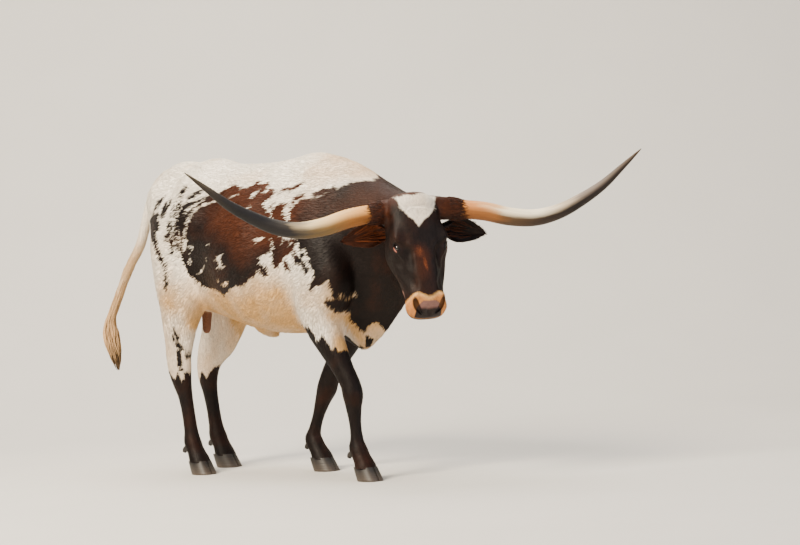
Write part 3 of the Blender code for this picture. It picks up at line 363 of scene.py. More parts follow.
# Markings. On the flanks they are outlines and spots in x and z, seen from that side; an outline's inside is
# dark. A spot is x, z, its two radii and its tilt in degrees. Noise in the hide's material frays every edge
RIGHT_OUTLINES = (
    (
        (-0.329, 1.115), (-0.331, 1.161), (-0.319, 1.205), (-0.302, 1.232), (-0.271, 1.249),
        (-0.242, 1.256), (-0.207, 1.273), (-0.173, 1.276), (-0.123, 1.283), (-0.061, 1.304),
        (-0.009, 1.32), (0.014, 1.31), (0.056, 1.3), (0.095, 1.299), (0.109, 1.316),
        (0.128, 1.33), (0.147, 1.328), (0.146, 1.315), (0.175, 1.314), (0.201, 1.317), (0.212, 1.308),
        (0.199, 1.291), (0.251, 1.285), (0.261, 1.276), (0.241, 1.255), (0.217, 1.243), (0.206, 1.226),
        (0.22, 1.208), (0.239, 1.194), (0.256, 1.172), (0.274, 1.141), (0.289, 1.114), (0.326, 1.087),
        (0.373, 1.068), (0.42, 1.067), (0.423, 1.045), (0.402, 1.02), (0.372, 1.003), (0.344, 0.986),
        (0.333, 0.969), (0.314, 0.947), (0.29, 0.956), (0.284, 0.978), (0.291, 0.996), (0.271, 1.023),
        (0.259, 1.01), (0.229, 1.006), (0.206, 0.998), (0.205, 0.971), (0.198, 0.945), (0.186, 0.927),
        (0.17, 0.91), (0.144, 0.897), (0.125, 0.88), (0.1, 0.871), (0.062, 0.872), (0.013, 0.859),
        (-0.001, 0.845), (-0.054, 0.829), (-0.087, 0.849), (-0.141, 0.853), (-0.201, 0.861),
        (-0.231, 0.866), (-0.247, 0.88), (-0.26, 0.884), (-0.279, 0.885), (-0.286, 0.908),
        (-0.307, 0.917), (-0.321, 0.931), (-0.33, 0.964), (-0.336, 0.987), (-0.342, 1.014),
        (-0.341, 1.042), (-0.316, 1.078),
    ),
    (
        (0.373, 1.138), (0.367, 1.182), (0.38, 1.207), (0.401, 1.228), (0.423, 1.24), (0.447, 1.239),
        (0.469, 1.247), (0.478, 1.264), (0.493, 1.276), (0.517, 1.288), (0.545, 1.278), (0.563, 1.295),
        (0.572, 1.281), (0.591, 1.28), (0.608, 1.292), (0.63, 1.294), (0.627, 1.308), (0.642, 1.295),
        (0.652, 1.307), (0.666, 1.296), (0.679, 1.302), (0.698, 1.3), (0.717, 1.299), (0.74, 1.33),
        (0.9, 1.33), (0.9, 0.5), (0.79, 0.66), (0.752, 0.7), (0.677, 0.692), (0.663, 0.688),
        (0.648, 0.661), (0.617, 0.653), (0.59, 0.636), (0.596, 0.682), (0.579, 0.701), (0.598, 0.745),
        (0.619, 0.79), (0.637, 0.825), (0.644, 0.827), (0.64, 0.806), (0.634, 0.812), (0.622, 0.8),
        (0.618, 0.819), (0.617, 0.845), (0.616, 0.872), (0.604, 0.885), (0.583, 0.873), (0.557, 0.861),
        (0.535, 0.857), (0.522, 0.84), (0.513, 0.857), (0.515, 0.875), (0.532, 0.883), (0.549, 0.891),
        (0.538, 0.913), (0.531, 0.94), (0.52, 0.957), (0.508, 0.983), (0.5, 1.005), (0.479, 1.027),
        (0.443, 1.045), (0.42, 1.063),
    ),
    (
        (0.271, 1.158), (0.259, 1.189), (0.268, 1.206), (0.289, 1.219), (0.316, 1.227), (0.345, 1.23),
        (0.349, 1.217), (0.33, 1.2), (0.32, 1.192), (0.344, 1.182), (0.353, 1.16), (0.35, 1.143),
        (0.303, 1.144),
    ),
    (
        (-0.62, 1.168), (-0.584, 1.191), (-0.538, 1.195), (-0.5, 1.204), (-0.474, 1.195),
        (-0.488, 1.177), (-0.464, 1.163), (-0.464, 1.127), (-0.49, 1.123), (-0.515, 1.134),
        (-0.523, 1.118), (-0.48, 1.091), (-0.478, 1.054), (-0.463, 1.031), (-0.444, 1.004),
        (-0.425, 0.98), (-0.42, 0.953), (-0.418, 0.926), (-0.407, 0.884), (-0.418, 0.875),
        (-0.429, 0.908), (-0.434, 0.944), (-0.446, 0.972), (-0.465, 0.999), (-0.487, 1.027),
        (-0.503, 1.059), (-0.528, 1.091), (-0.597, 1.126),
    ),
    (
        (0.583, 0.798), (0.598, 0.811), (0.607, 0.792), (0.619, 0.791), (0.632, 0.808), (0.634, 0.798),
        (0.625, 0.781), (0.611, 0.762), (0.596, 0.745), (0.6, 0.76), (0.591, 0.771), (0.583, 0.785),
    ),
)
RIGHT_SPOTS = (
    (-0.242, 1.282, 0.035, 0.008, 31), (-0.302, 1.296, 0.026, 0.012, 50),
    (-0.22, 1.264, 0.023, 0.006, 25), (-0.32, 1.231, 0.032, 0.007, 65),
    (-0.368, 1.213, 0.02, 0.007, 85), (-0.4, 1.247, 0.027, 0.014, 65),
    (-0.438, 1.223, 0.037, 0.02, 91), (-0.394, 1.153, 0.023, 0.006, 73),
    (-0.377, 1.146, 0.034, 0.008, -94), (-0.4, 1.103, 0.029, 0.012, 57),
    (-0.385, 1.064, 0.041, 0.011, -94), (-0.346, 1.092, 0.073, 0.006, -100),
    (-0.358, 1.093, 0.045, 0.006, -93), (-0.319, 1.099, 0.038, 0.006, -93),
    (-0.345, 1.206, 0.035, 0.006, -88), (-0.514, 1.256, 0.016, 0.009, 82),
    (-0.55, 1.236, 0.019, 0.007, 67), (0.255, 1.218, 0.021, 0.008, 40),
    (0.305, 1.285, 0.032, 0.006, 11), (0.366, 1.294, 0.031, 0.007, 27),
    (0.386, 1.236, 0.027, 0.009, 56), (0.416, 1.254, 0.023, 0.008, 36),
    (0.427, 0.987, 0.038, 0.015, -56), (0.467, 0.99, 0.046, 0.012, -77),
    (0.496, 0.948, 0.032, 0.012, -68), (0.372, 0.95, 0.032, 0.017, -54),
    (0.224, 0.938, 0.036, 0.022, -44), (0.435, 0.71, 0.019, 0.007, -74),
    (0.449, 0.682, 0.024, 0.007, -50), (-0.431, 0.889, 0.031, 0.007, -94),
    (-0.439, 1.236, 0.03, 0.006, 62), (0.24, 0.928, 0.01, 0.01, 30),
)
RIGHT_GAPS = (
    (-0.03, 1.0, 0.032, 0.008, 21), (-0.027, 0.973, 0.03, 0.011, -46),
    (-0.022, 0.957, 0.03, 0.005, 7), (0.2, 1.073, 0.022, 0.01, 6),
    (-0.259, 1.044, 0.012, 0.009, -10), (-0.22, 0.941, 0.029, 0.007, 34),
    (-0.291, 0.985, 0.023, 0.006, -99), (-0.303, 1.057, 0.037, 0.013, 59),
    (-0.284, 1.114, 0.036, 0.007, 59), (-0.264, 1.165, 0.04, 0.008, 73),
    (-0.236, 1.211, 0.028, 0.007, 47), (-0.203, 1.232, 0.027, 0.006, 20),
    (-0.162, 1.242, 0.034, 0.005, 11), (-0.274, 1.212, 0.024, 0.006, 42),
    (-0.236, 1.238, 0.033, 0.005, 29), (-0.21, 1.268, 0.037, 0.005, 21),
    (0.009, 1.267, 0.039, 0.005, 20), (0.147, 1.275, 0.025, 0.011, 50),
    (0.13, 1.213, 0.02, 0.006, 22), (-0.064, 0.896, 0.009, 0.008, -15),
    (-0.018, 0.879, 0.023, 0.011, 8), (0.122, 0.91, 0.011, 0.004, 6),
    (0.279, 1.053, 0.025, 0.007, -61), (0.337, 1.057, 0.014, 0.005, 44),
    (0.388, 1.052, 0.013, 0.006, 33), (-0.152, 0.991, 0.008, 0.005, -12),
    (-0.117, 1.057, 0.008, 0.005, -28), (0.507, 1.252, 0.018, 0.003, 21),
    (0.627, 0.694, 0.01, 0.007, -62), (0.198, 1.281, 0.015, 0.008, 37),
    (0.22, 1.298, 0.021, 0.004, 1),
)
LEFT_OUTLINES = (
    (
        (-0.42, 1.19), (-0.34, 1.25), (-0.25, 1.24), (-0.19, 1.3), (-0.08, 1.315), (0.0, 1.29),
        (0.08, 1.33), (0.15, 1.3), (0.19, 1.23), (0.15, 1.17), (0.19, 1.11), (0.15, 1.03),
        (0.17, 0.96), (0.09, 0.9), (0.0, 0.88), (-0.06, 0.835), (-0.15, 0.85), (-0.19, 0.9),
        (-0.27, 0.88), (-0.33, 0.94), (-0.35, 1.03), (-0.42, 1.08),
    ),
    (
        (0.35, 1.19), (0.4, 1.27), (0.47, 1.3), (0.54, 1.33), (0.64, 1.322), (0.74, 1.33),
        (0.98, 1.33), (0.98, 0.5), (0.78, 0.64), (0.7, 0.7), (0.64, 0.66), (0.6, 0.76),
        (0.56, 0.84), (0.48, 0.86), (0.42, 0.93), (0.44, 1.01), (0.38, 1.06), (0.37, 1.13),
    ),
)
LEFT_SPOTS = (
    (0.28, 1.25, 0.04, 0.016, 30), (0.25, 1.15, 0.03, 0.014, 60), (0.3, 1.05, 0.034, 0.02, 40),
    (0.25, 0.95, 0.026, 0.016, 10), (0.34, 0.9, 0.022, 0.014, -20), (0.33, 1.32, 0.03, 0.01, 15),
    (-0.48, 1.21, 0.04, 0.012, 60), (-0.46, 1.12, 0.044, 0.012, 75), (-0.44, 1.01, 0.04, 0.012, 80),
    (-0.4, 0.93, 0.03, 0.012, 70), (-0.52, 1.24, 0.026, 0.01, 50), (-0.42, 1.28, 0.026, 0.01, 40),
    (-0.6, 1.14, 0.05, 0.026, 95), (-0.56, 1.02, 0.07, 0.012, 100), (-0.35, 0.84, 0.02, 0.012, 50),
    (-0.26, 1.33, 0.026, 0.009, 25), (0.43, 0.78, 0.03, 0.012, -50), (0.38, 0.98, 0.018, 0.014, 0),
)
LEFT_GAPS = (
    (-0.12, 1.2, 0.03, 0.01, 40), (0.04, 1.09, 0.022, 0.014, 20), (-0.24, 1.04, 0.024, 0.014, 60),
    (-0.02, 0.96, 0.022, 0.012, 10), (-0.3, 1.16, 0.026, 0.01, 60),
    (0.06, 1.22, 0.024, 0.008, 30), (-0.1, 1.06, 0.016, 0.01, 0),
)
# Dark of the legs: the line of x and z that it lies below, and spots above it
LEG_DARK = {
    "foreleg_right": (
        (
            (0.44, 0.69), (0.467, 0.662), (0.481, 0.626), (0.49, 0.617), (0.508, 0.639), (0.518, 0.646),
            (0.527, 0.639), (0.53, 0.617), (0.541, 0.608), (0.553, 0.581), (0.56, 0.581), (0.566, 0.591),
            (0.57, 0.589), (0.576, 0.571), (0.583, 0.566), (0.586, 0.578), (0.62, 0.64), (0.66, 0.7),
        ),
        (),
    ),
    "foreleg_left": (((0.0, 0.76), (1.0, 0.76)), ()),
    "hindleg_right": (
        (
            (-0.56, 0.47), (-0.527, 0.48), (-0.505, 0.453), (-0.485, 0.439), (-0.467, 0.472),
            (-0.45, 0.43), (-0.435, 0.452), (-0.428, 0.479), (-0.426, 0.451), (-0.39, 0.43),
        ),
        (
            (-0.435, 0.65, 0.03, 0.014, -75), (-0.46, 0.632, 0.02, 0.006, -89),
            (-0.437, 0.597, 0.026, 0.015, -57), (-0.449, 0.536, 0.06, 0.013, -93),
            (-0.434, 0.459, 0.021, 0.006, -74), (-0.414, 0.553, 0.021, 0.007, -94),
        ),
    ),
    "hindleg_left": (
        (
            (-0.66, 0.4), (-0.646, 0.417), (-0.629, 0.443), (-0.618, 0.446), (-0.615, 0.427),
            (-0.599, 0.422), (-0.585, 0.445), (-0.576, 0.454), (-0.561, 0.466), (-0.544, 0.477),
        ),
        ((-0.628, 0.431, 0.022, 0.011, -70),),
    ),
}
# Star on the forehead, down the face and to its left
STAR = (
    (-0.004, -0.084), (0.01, -0.06), (0.002, -0.03), (0.012, -0.004), (-0.002, 0.03), (-0.008, 0.07),
    (0.012, 0.104), (0.04, 0.09), (0.078, 0.068), (0.106, 0.04), (0.118, 0.02), (0.148, -0.008),
    (0.116, -0.026), (0.098, -0.044), (0.062, -0.066), (0.03, -0.072),
)

# The skin: where it ends inside the hooves, voxels of the remeshed body and head, and softening
HIDE_FOOT = 0.055
BODY_VOXEL = 0.009
HEAD_VOXEL = 0.0034
SMOOTH_PASSES = 7
TRUNK_PASSES = 33
HIDE_NODES = (
    "torso",
    "neck",
    "head",
    "ear_left",
    "ear_right",
    "foreleg_left",
    "foreleg_right",
    "hindleg_left",
    "hindleg_right",
    "tail",
    "groin_pouch",
    "navel_sheath",
)

# Bare plate of the nose, down the face and out to one side, and the folds of the face on its left side
NOSE_PLATE = ((0.468, -0.02), (0.464, 0.03), (0.476, 0.046), (0.494, 0.056), (0.54, 0.066), (0.54, -0.02))
FACE_STROKES = (
    ((0.188, 0.106, -0.014), (0.04, 0.026, 0.016), 0.0035),
    ((0.262, 0.098, -0.052), (0.022, 0.022, 0.012), -0.003),
    ((0.335, 0.086, -0.096), (0.085, 0.02, 0.01), 0.003),
    ((0.24, 0.03, 0.0), (0.06, 0.012, 0.02), -0.0015),
    ((0.21, 0.04, 0.01), (0.08, 0.01, 0.02), 0.0015),
    ((0.452, 0.052, -0.034), (0.03, 0.014, 0.014), 0.0025),
    ((0.478, 0.048, -0.078), (0.014, 0.01, 0.01), 0.0015),
)

# What the hide's materials read from it
MARKS = (
    "dark", "black", "red", "tan", "muzzle", "band_highlight", "bare", "lip", "rim", "fleck", "nostril_shade", "rust",
    "pouch",
)

# Coats: share of the fullest one's tufts, length, width and rise against a tuft of the trunk, and spread of
# the lie in radians
COATS = {
    "trunk_right": (1.0, 1.0, 1.0, 1.0, 0.2),
    "trunk_left": (1.0, 1.0, 1.0, 1.0, 0.2),
    "neck": (1.0, 0.85, 0.8, 0.8, 0.22),
    "forelegs": (0.7, 0.5, 0.5, 0.6, 0.18),
    "hindlegs": (0.7, 0.5, 0.5, 0.6, 0.18),
    "face": (1.0, 0.24, 0.3, 0.3, 0.18),
    "poll": (0.7, 0.75, 0.4, 1.2, 0.35),
    "edges": (0.55, 0.5, 0.36, 0.6, 0.25),
}

# Levels of a claw: height, how far it leans back and its size
CLAW_LEVELS = (
    (0.0, 0.0, 0.94),
    (0.003, 0.0, 1.0),
    (0.022, -0.01, 0.98),
    (0.044, -0.021, 0.94),
    (0.0617, -0.029, 0.9),
)

# Long hairs: ragged ends of the bosses over the horns' roots, the inside of the ears and the tail's end
BOSS_LOCKS = 260
EAR_LOCKS = 46
TAIL_LOCKS = 120
LASHES = 22

# Layers of the switch: locks, where they start and end, how far out they reach and how tan they are
SWITCH_SEED = 21
SWITCH_LAYERS = (
    (14, 0.42, 1.0, 0.3, 0.02),
    (20, 0.34, 0.99, 0.55, 0.08),
    (26, 0.24, 0.94, 0.74, 0.22),
    (30, 0.14, 0.84, 0.86, 0.45),
    (34, 0.06, 0.72, 0.94, 0.7),
    (32, 0.0, 0.6, 0.98, 0.85),
)

# Colours of the horns from root to tip, on their upper side and underneath, where the darker colours are
# painted shade
RIGHT_HORN = (
    (
        (0.0, "#b06c30"), (0.14, "#cf9450"), (0.26, "#dab074"), (0.37, "#d3bb8e"), (0.43, "#8f8168"),
        (0.48, "#37332f"), (0.6, "#171619"), (0.8, "#1d1a1a"), (0.9, "#3a332a"), (1.0, "#302619"),
    ),
    (
        (0.0, "#6b3c17"), (0.2, "#8a5826"), (0.31, "#6f5834"), (0.42, "#4c4234"), (0.48, "#232020"),
        (0.7, "#121214"), (1.0, "#2a231c"),
    ),
)
LEFT_HORN = (
    (
        (0.0, "#ad6a33"), (0.16, "#c27f45"), (0.25, "#d9b184"), (0.3, "#efdfbd"), (0.45, "#ecdfc4"),
        (0.56, "#b5a48a"), (0.66, "#74685f"), (0.84, "#5a4f46"), (1.0, "#4a3a2c"),
    ),
    (
        (0.0, "#8a5226"), (0.25, "#7f5027"), (0.31, "#4f3b27"), (0.45, "#33271e"), (0.6, "#1d1612"),
        (0.86, "#2a211c"), (1.0, "#3a2d22"),
    ),
)

# Camera, and the studio's lights: place, size, watts and colour
CAMERA_PLACE = (10.445, -10.182, 1.404)
CAMERA_BACK = (0.69424, -0.7189, 0.0349)
CAMERA_ROLL = 3.0
CAMERA_LENS = 149.175
STUDIO_LIGHTS = (
    ("key", (0.0, -7.5, 7.0), 3.6, 2500, "#fff0d8"),
    ("fill", (8.5, 0.5, 3.5), 5.0, 300, "#f2f4ff"),
    ("top", (-1.5, 0.5, 6.5), 4.5, 620, "#fff8ee"),
    ("back", (-6.0, 5.0, 4.0), 4.0, 300, "#fff4e6"),
)

# The hide's parts in the order in which they are joined, and values far outside a mark and far from anything
TRUNK_PART, HEAD_PART, LEFT_EAR_PART, RIGHT_EAR_PART, TAIL_PART, POUCH_PART, SHEATH_PART = range(7)
OUTSIDE = -0.05
FAR_AWAY = 9.0

# Heights of the brisket's pale patch and of the white line of the back, along x
BRISKET_LINE = (
    (0.56, 0.6), (0.6, 0.635), (0.62, 0.65), (0.65, 0.68), (0.67, 0.69), (0.69, 0.69), (0.705, 0.66),
    (0.72, 0.58),
)
TOP_LINE = ((-0.7, 1.36), (-0.3, 1.38), (0.1, 1.37), (0.33, 1.37), (0.55, 1.345), (0.66, 1.32), (0.7, 1.4))

# How deep the tail's skin lies under its coat, and softening of the head's surface
TAIL_COAT = 0.0015
HEAD_PASSES = 5

# Dark coats, the seed of the first coat, and how wide a patch of the unwrap one tuft takes
COAT_SEED = 11
TUFT_PATCH = 0.003

# How far the coat's streaks and single locks fray the edges of the marks, the linear colour of the painted
# shade in the nostrils, and that of the pupils
STREAK_FRAY = 0.0065
LOCK_FRAY = 0.0035
NOSTRIL_SHADE_COLOUR = (0.006, 0.004, 0.004)
PUPIL_COLOUR = (0.003, 0.003, 0.004)
# The iris from its middle to its rim, and the mottled studio paper
IRIS = ((0.0, "#24140c"), (0.45, "#2c180e"), (0.62, "#100907"), (0.8, "#1c1411"), (1.0, "#3a2a24"))
PAPER_COLOURS = ("#c9c6c0", "#cfccc6")

# Seeds of the lashes and of the fringes, and how flat a fringe's hairs are
LASH_SEED = 5
FRINGE_SEED = 8
FRINGE_FLATNESS = 0.45

# The floor, away from the camera: its near end, where it bends up, the bend's radius and the backdrop's top.
# Then where the lights point, and the world light
FLOOR_FRONT = -22.0
BEND_START = 2.6
BEND_RADIUS = 3.2
BACKDROP_HEIGHT = 12.0
LIGHT_TARGET = (0.1, 0, 0.8)
WORLD_COLOUR = "#dfe4ea"
WORLD_STRENGTH = 0.42


def settings():
    """The sizes and colours of the panel."""
    return bpy.context.scene.longhorn


def linear(value):
    """A hex colour as linear red, green, blue."""
    channels = [int(value[i : i + 2], 16) / 255 for i in (1, 3, 5)]
    return tuple(c / 12.92 if c <= 0.04045 else ((c + 0.055) / 1.055) ** 2.4 for c in channels)


def read_points(mesh, kind="co"):
    """The places of a mesh's vertices, or their normals, as rows of x, y, z."""
    rows = np.empty(len(mesh.vertices) * 3)
    mesh.vertices.foreach_get(kind, rows)
    return rows.reshape(-1, 3)


def write_points(mesh, points):
    mesh.vertices.foreach_set("co", np.ascontiguousarray(points).ravel())
    mesh.update()


def store(mesh, name, values):
    """A named attribute of the mesh's vertices, a number or a vector each."""
    kind, field = ("FLOAT", "value") if values.ndim == 1 else ("FLOAT_VECTOR", "vector")
    attribute = mesh.attributes.new(name, kind, "POINT")
    attribute.data.foreach_set(field, np.ascontiguousarray(values, np.float32).ravel())


def fetch(mesh, name):
    attribute = mesh.attributes[name]
    size = 1 if attribute.data_type == "FLOAT" else 3
    values = np.empty(len(attribute.data) * size, np.float32)
    attribute.data.foreach_get("value" if size == 1 else "vector", values)
    return values if size == 1 else values.reshape(-1, 3)


def smooth_step(low, high, values):
    share = np.clip((values - low) / (high - low), 0, 1)
    return share * share * (3 - 2 * share)


def edges_of(mesh):
    edges = np.empty(len(mesh.edges) * 2, int)
    mesh.edges.foreach_get("vertices", edges)
    return edges.reshape(-1, 2).T


def soften(mesh, values, passes):
    """Values of the vertices, averaged with their neighbours a number of times."""
    first, second = edges_of(mesh)
    flat = values if values.ndim == 2 else values[:, None]
    flat = flat.astype(float)
    degree = np.bincount(np.concatenate((first, second)), minlength=len(flat))[:, None]
    degree = np.maximum(degree, 1)
    for _ in range(passes):
        total = np.zeros_like(flat)
        for k in range(flat.shape[1]):
            total[:, k] = np.bincount(first, flat[second, k], len(flat))
            total[:, k] += np.bincount(second, flat[first, k], len(flat))
        flat = 0.5 * flat + 0.5 * total / degree
    return flat if values.ndim == 2 else flat[:, 0]


def sink(obj, depth):
    """Moves a surface inwards, by one depth or one for each vertex."""
    mesh = obj.data
    depths = np.broadcast_to(depth, len(mesh.vertices))[:, None]
    write_points(mesh, read_points(mesh) - read_points(mesh, "normal") * depths)
    return obj


def shade_smooth(obj):
    obj.data.polygons.foreach_set("use_smooth", np.ones(len(obj.data.polygons), bool))
    return obj


def weld(obj, distance=1e-6):
    bm = bmesh.new()
    bm.from_mesh(obj.data)
    bmesh.ops.remove_doubles(bm, verts=bm.verts, dist=distance)
    bmesh.ops.recalc_face_normals(bm, faces=bm.faces)
    bm.to_mesh(obj.data)
    bm.free()
    return obj


def link_object(name, data):
    """An object with its data, linked to the scene."""
    obj = bpy.data.objects.new(name, data)
    bpy.context.scene.collection.objects.link(obj)
    return obj


def new_object(name, bm):
    """An object from a bmesh, linked to the scene."""
    mesh = bpy.data.meshes.new(name)
    bm.to_mesh(mesh)
    bm.free()
    return link_object(name, mesh)


def resample(rows, count):
    """Rows of numbers smoothed by a Catmull-Rom curve, at count even steps along the table."""
    table = np.array(rows, float)
    last = len(table) - 1
    steps = np.linspace(0, last, count)
    index = np.minimum(steps.astype(int), last - 1)
    t = (steps - index)[:, None]
    before = table[np.maximum(index - 1, 0)]
    here = table[index]
    after = table[index + 1]
    beyond = table[np.minimum(index + 2, last)]
    return 0.5 * (
        2 * here
        + (after - before) * t
        + (2 * before - 5 * here + 4 * after - beyond) * t**2
        + (3 * here - before - 3 * after + beyond) * t**3
    )


def skin_rings(name, rings):
    """A closed mesh through rings of equally many points, with its two ends capped."""
    bm = bmesh.new()
    loops = [[bm.verts.new(point) for point in ring] for ring in rings]
    count = len(loops[0])
    for first, second in zip(loops, loops[1:]):
        for i in range(count):
            j = (i + 1) % count
            bm.faces.new((first[i], first[j], second[j], second[i]))
    for loop in (loops[0], loops[-1]):
        middle = bm.verts.new(sum((v.co for v in loop), Vector()) / count)
        for i in range(count):
            bm.faces.new((loop[i], loop[(i + 1) % count], middle))
    bmesh.ops.recalc_face_normals(bm, faces=bm.faces)
    return new_object(name, bm)


def rounded(angle, power):
    """Cosine and sine of an angle on a unit outline whose corners swell or shrink with the power."""
    c, s = math.cos(angle), math.sin(angle)
    return (
        math.copysign(abs(c) ** (2 / power), c),
        math.copysign(abs(s) ** (2 / power), s),
    )


def turn_neck(point):
    """A point of the straight animal moved to its place once the neck is turned."""
    steps = np.linspace(TURN_START, TURN_END, 80)
    share = (steps - TURN_START) / (TURN_END - TURN_START)
    headings = TURN_ANGLE * share**2 * (3 - 2 * share)
    step = steps[1] - steps[0]
    path_x = TURN_START + np.concatenate(([0], np.cumsum(np.cos(headings[:-1]) * step)))
    path_y = np.concatenate(([0], np.cumsum(np.sin(headings[:-1]) * step)))
    if point[0] <= TURN_START:
        return Vector(point)
    heading = float(np.interp(point[0], steps, headings))
    beyond = max(point[0] - TURN_END, 0)
    x = float(np.interp(point[0], steps, path_x)) + beyond * math.cos(heading)
    y = float(np.interp(point[0], steps, path_y)) + beyond * math.sin(heading)
    return Vector((x - point[1] * math.sin(heading), y + point[1] * math.cos(heading), point[2]))


def oval_ring(half_width, top, low, middle, rounds, around):
    """A ring whose upper and lower halves differ, as how far aside each point is and how high."""
    ring = []
    for k in range(around):
        angle = 2 * math.pi * k / around
        upper = math.sin(angle) >= 0
        side, rise = rounded(angle, rounds[0] if upper else rounds[1])
        end = top if upper else low
        ring.append((half_width * side, middle + (end - middle) * abs(rise)))
    return ring


def trunk(rings=150, around=96):
    """The trunk and neck, from the buttocks to inside the head."""
    loops = []
    for top_x, top_z, low_x, low_z, half_width, widest, *rounds in resample(TRUNK, rings):
        middle_x = low_x + (top_x - low_x) * widest
        middle_z = low_z + (top_z - low_z) * widest
        lengthwise = oval_ring(half_width, top_x, low_x, middle_x, rounds, around)
        upright = oval_ring(half_width, top_z, low_z, middle_z, rounds, around)
        loops.append([turn_neck((x, y, z)) for (y, x), (_, z) in zip(lengthwise, upright)])
    return skin_rings("trunk", loops)


def leg(name, stations, side, rings=90, around=44):
    """One leg, as a tube whose rings stand square to its line."""
    table = resample(stations, rings)
    tangents = np.gradient(table[:, [0, 2]], axis=0)
    turns = [2 * math.pi * k / around for k in range(around)]
    loops = []
    for (x, y, z, half_depth, half_width), (dx, dz) in zip(table, tangents):
        length = math.hypot(dx, dz)
        across = Vector((-dz / length, 0, dx / length))
        centre = Vector((x, side * y, z))
        loop = []
        for turn in turns:
            ahead = across * (half_depth * math.cos(turn))
            loop.append(centre + ahead + Vector((0, half_width * math.sin(turn), 0)))
        loops.append(loop)
    return skin_rings(name, loops)


def apply_modifiers(obj):
    """Replaces the object's mesh by its evaluated one."""
    graph = bpy.context.evaluated_depsgraph_get()
    mesh = bpy.data.meshes.new_from_object(obj.evaluated_get(graph))
    obj.modifiers.clear()
    obj.data = mesh
    return obj


def join(objects, name):
    """The first object with the meshes of all and their attributes. The others are removed."""
    first = objects[0]
    bm = bmesh.new()
    for obj in objects:
        bm.from_mesh(obj.data)
    for obj in objects[1:]:
        bpy.data.objects.remove(obj)
    bm.to_mesh(first.data)
    bm.free()
    first.name = name
    return first


def melt(obj, voxel, passes):
    """Overlapping shapes made one surface of small even faces, then softened."""
    remesh = obj.modifiers.new("melt", "REMESH")
    remesh.mode = "VOXEL"
    remesh.voxel_size = voxel
    smooth = obj.modifiers.new("soften", "SMOOTH")
    smooth.factor = 0.5
    smooth.iterations = passes
    return apply_modifiers(obj)


def boolean(obj, other, operation, solver="EXACT"):
    """The object joined with another, or cut by it. The other is removed."""
    modifier = obj.modifiers.new("boolean", "BOOLEAN")
    modifier.operation = operation
    modifier.solver = solver
    modifier.object = other
    apply_modifiers(obj)
    bpy.data.objects.remove(other)
    return obj


def largest(obj):
    """The object with only its largest connected surface."""
    mesh = obj.data
    first, second = edges_of(mesh)
    group = np.arange(len(mesh.vertices))
    while True:
        lower = group.copy()
        np.minimum.at(lower, first, group[second])
        np.minimum.at(lower, second, group[first])
        lower = lower[lower]
        if (lower == group).all():
            break
        group = lower
    keep = np.bincount(group).argmax()
    bm = bmesh.new()
    bm.from_mesh(mesh)
    bm.verts.ensure_lookup_table()
    strays = [bm.verts[i] for i in np.nonzero(group != keep)[0]]
    bmesh.ops.delete(bm, geom=strays, context="VERTS")
    bm.to_mesh(mesh)
    bm.free()
    return obj


def unit_shape(name, bm, centre, size, turn=None):
    """A unit shape from a bmesh, scaled, turned by a matrix about its centre and moved to its place."""
    frame = Matrix.Translation(centre) @ (turn or Matrix()) @ Matrix.Diagonal((*size, 1))
    bmesh.ops.transform(bm, matrix=frame, verts=bm.verts)
    return new_object(name, bm)


def box(name, centre, size):
    bm = bmesh.new()
    bmesh.ops.create_cube(bm, size=1)
    return unit_shape(name, bm, centre, size)


def ball(name, centre, radii, turn=None, segments=16, rings=10):
    """An ellipsoid, turned by a matrix about its centre."""
    bm = bmesh.new()
    bmesh.ops.create_uvsphere(bm, u_segments=segments, v_segments=rings, radius=1)
    return unit_shape(name, bm, centre, radii, turn)


def mirrored(place, side):
    """A place or a direction that is given on the left, on the side that is asked for."""
    return place[0], side * place[1], place[2]


def tube(name, path, around=12, count=None):
    """A closed tube along points given as x, y, z, radius, with an optional flatter radius across."""
    table = resample(path, count or len(path) * 4)
    points = [Vector(row[:3]) for row in table]
    turns = [2 * math.pi * k / around for k in range(around)]
    loops = []
    side = None
    for i, row in enumerate(table):
        tangent = points[min(i + 1, len(points) - 1)] - points[max(i - 1, 0)]
        tangent.normalize()
        if side is None:
            side = tangent.orthogonal().normalized()
            if abs(tangent.y) < 0.9:
                side = (Vector((0, 1, 0)) - tangent * tangent.y).normalized()
        side = (side - tangent * side.dot(tangent)).normalized()
        other = tangent.cross(side)
        wide, deep = row[3], row[-1]
        loops.append([points[i] + side * (wide * math.cos(a)) + other * (deep * math.sin(a)) for a in turns])
    return skin_rings(name, loops)


def sculpt(obj, strokes):
    """Moves a surface by strokes: centre, radii along x, y and z, and an amount outwards or a move."""
    mesh = obj.data
    points = read_points(mesh)
    normals = read_points(mesh, "normal")
    for centre, radii, move in strokes:
        reach = ((points - np.array(centre)) / np.array(radii)) ** 2
        weight = np.clip(1 - reach.sum(axis=1), 0, 1)[:, None] ** 2
        points += weight * (normals * move if np.isscalar(move) else np.array(move))
    write_points(mesh, points)
    return obj


def relax(obj, passes, weight):
    """Softens a surface, most where the weight of a point, which is a function of its place, is highest."""
    mesh = obj.data
    points = read_points(mesh)
    share = weight(points)[:, None]
    for _ in range(passes):
        points = points * (1 - share) + share * soften(mesh, points, 1)
    write_points(mesh, points)
    return obj


def both_sides(strokes):
    """Strokes on the left side, repeated on the right."""
    repeated = []
    for centre, radii, move in strokes:
        for side in (LEFT, RIGHT):
            away = move if np.isscalar(move) else mirrored(move, side)
            repeated.append((mirrored(centre, side), radii, away))
    return repeated


def body_strokes():
    """The body's strokes, with those on the neck turned along with it."""
    strokes = both_sides(BODY_STROKES)
    return [(turn_neck(centre), radii, move) for centre, radii, move in strokes]


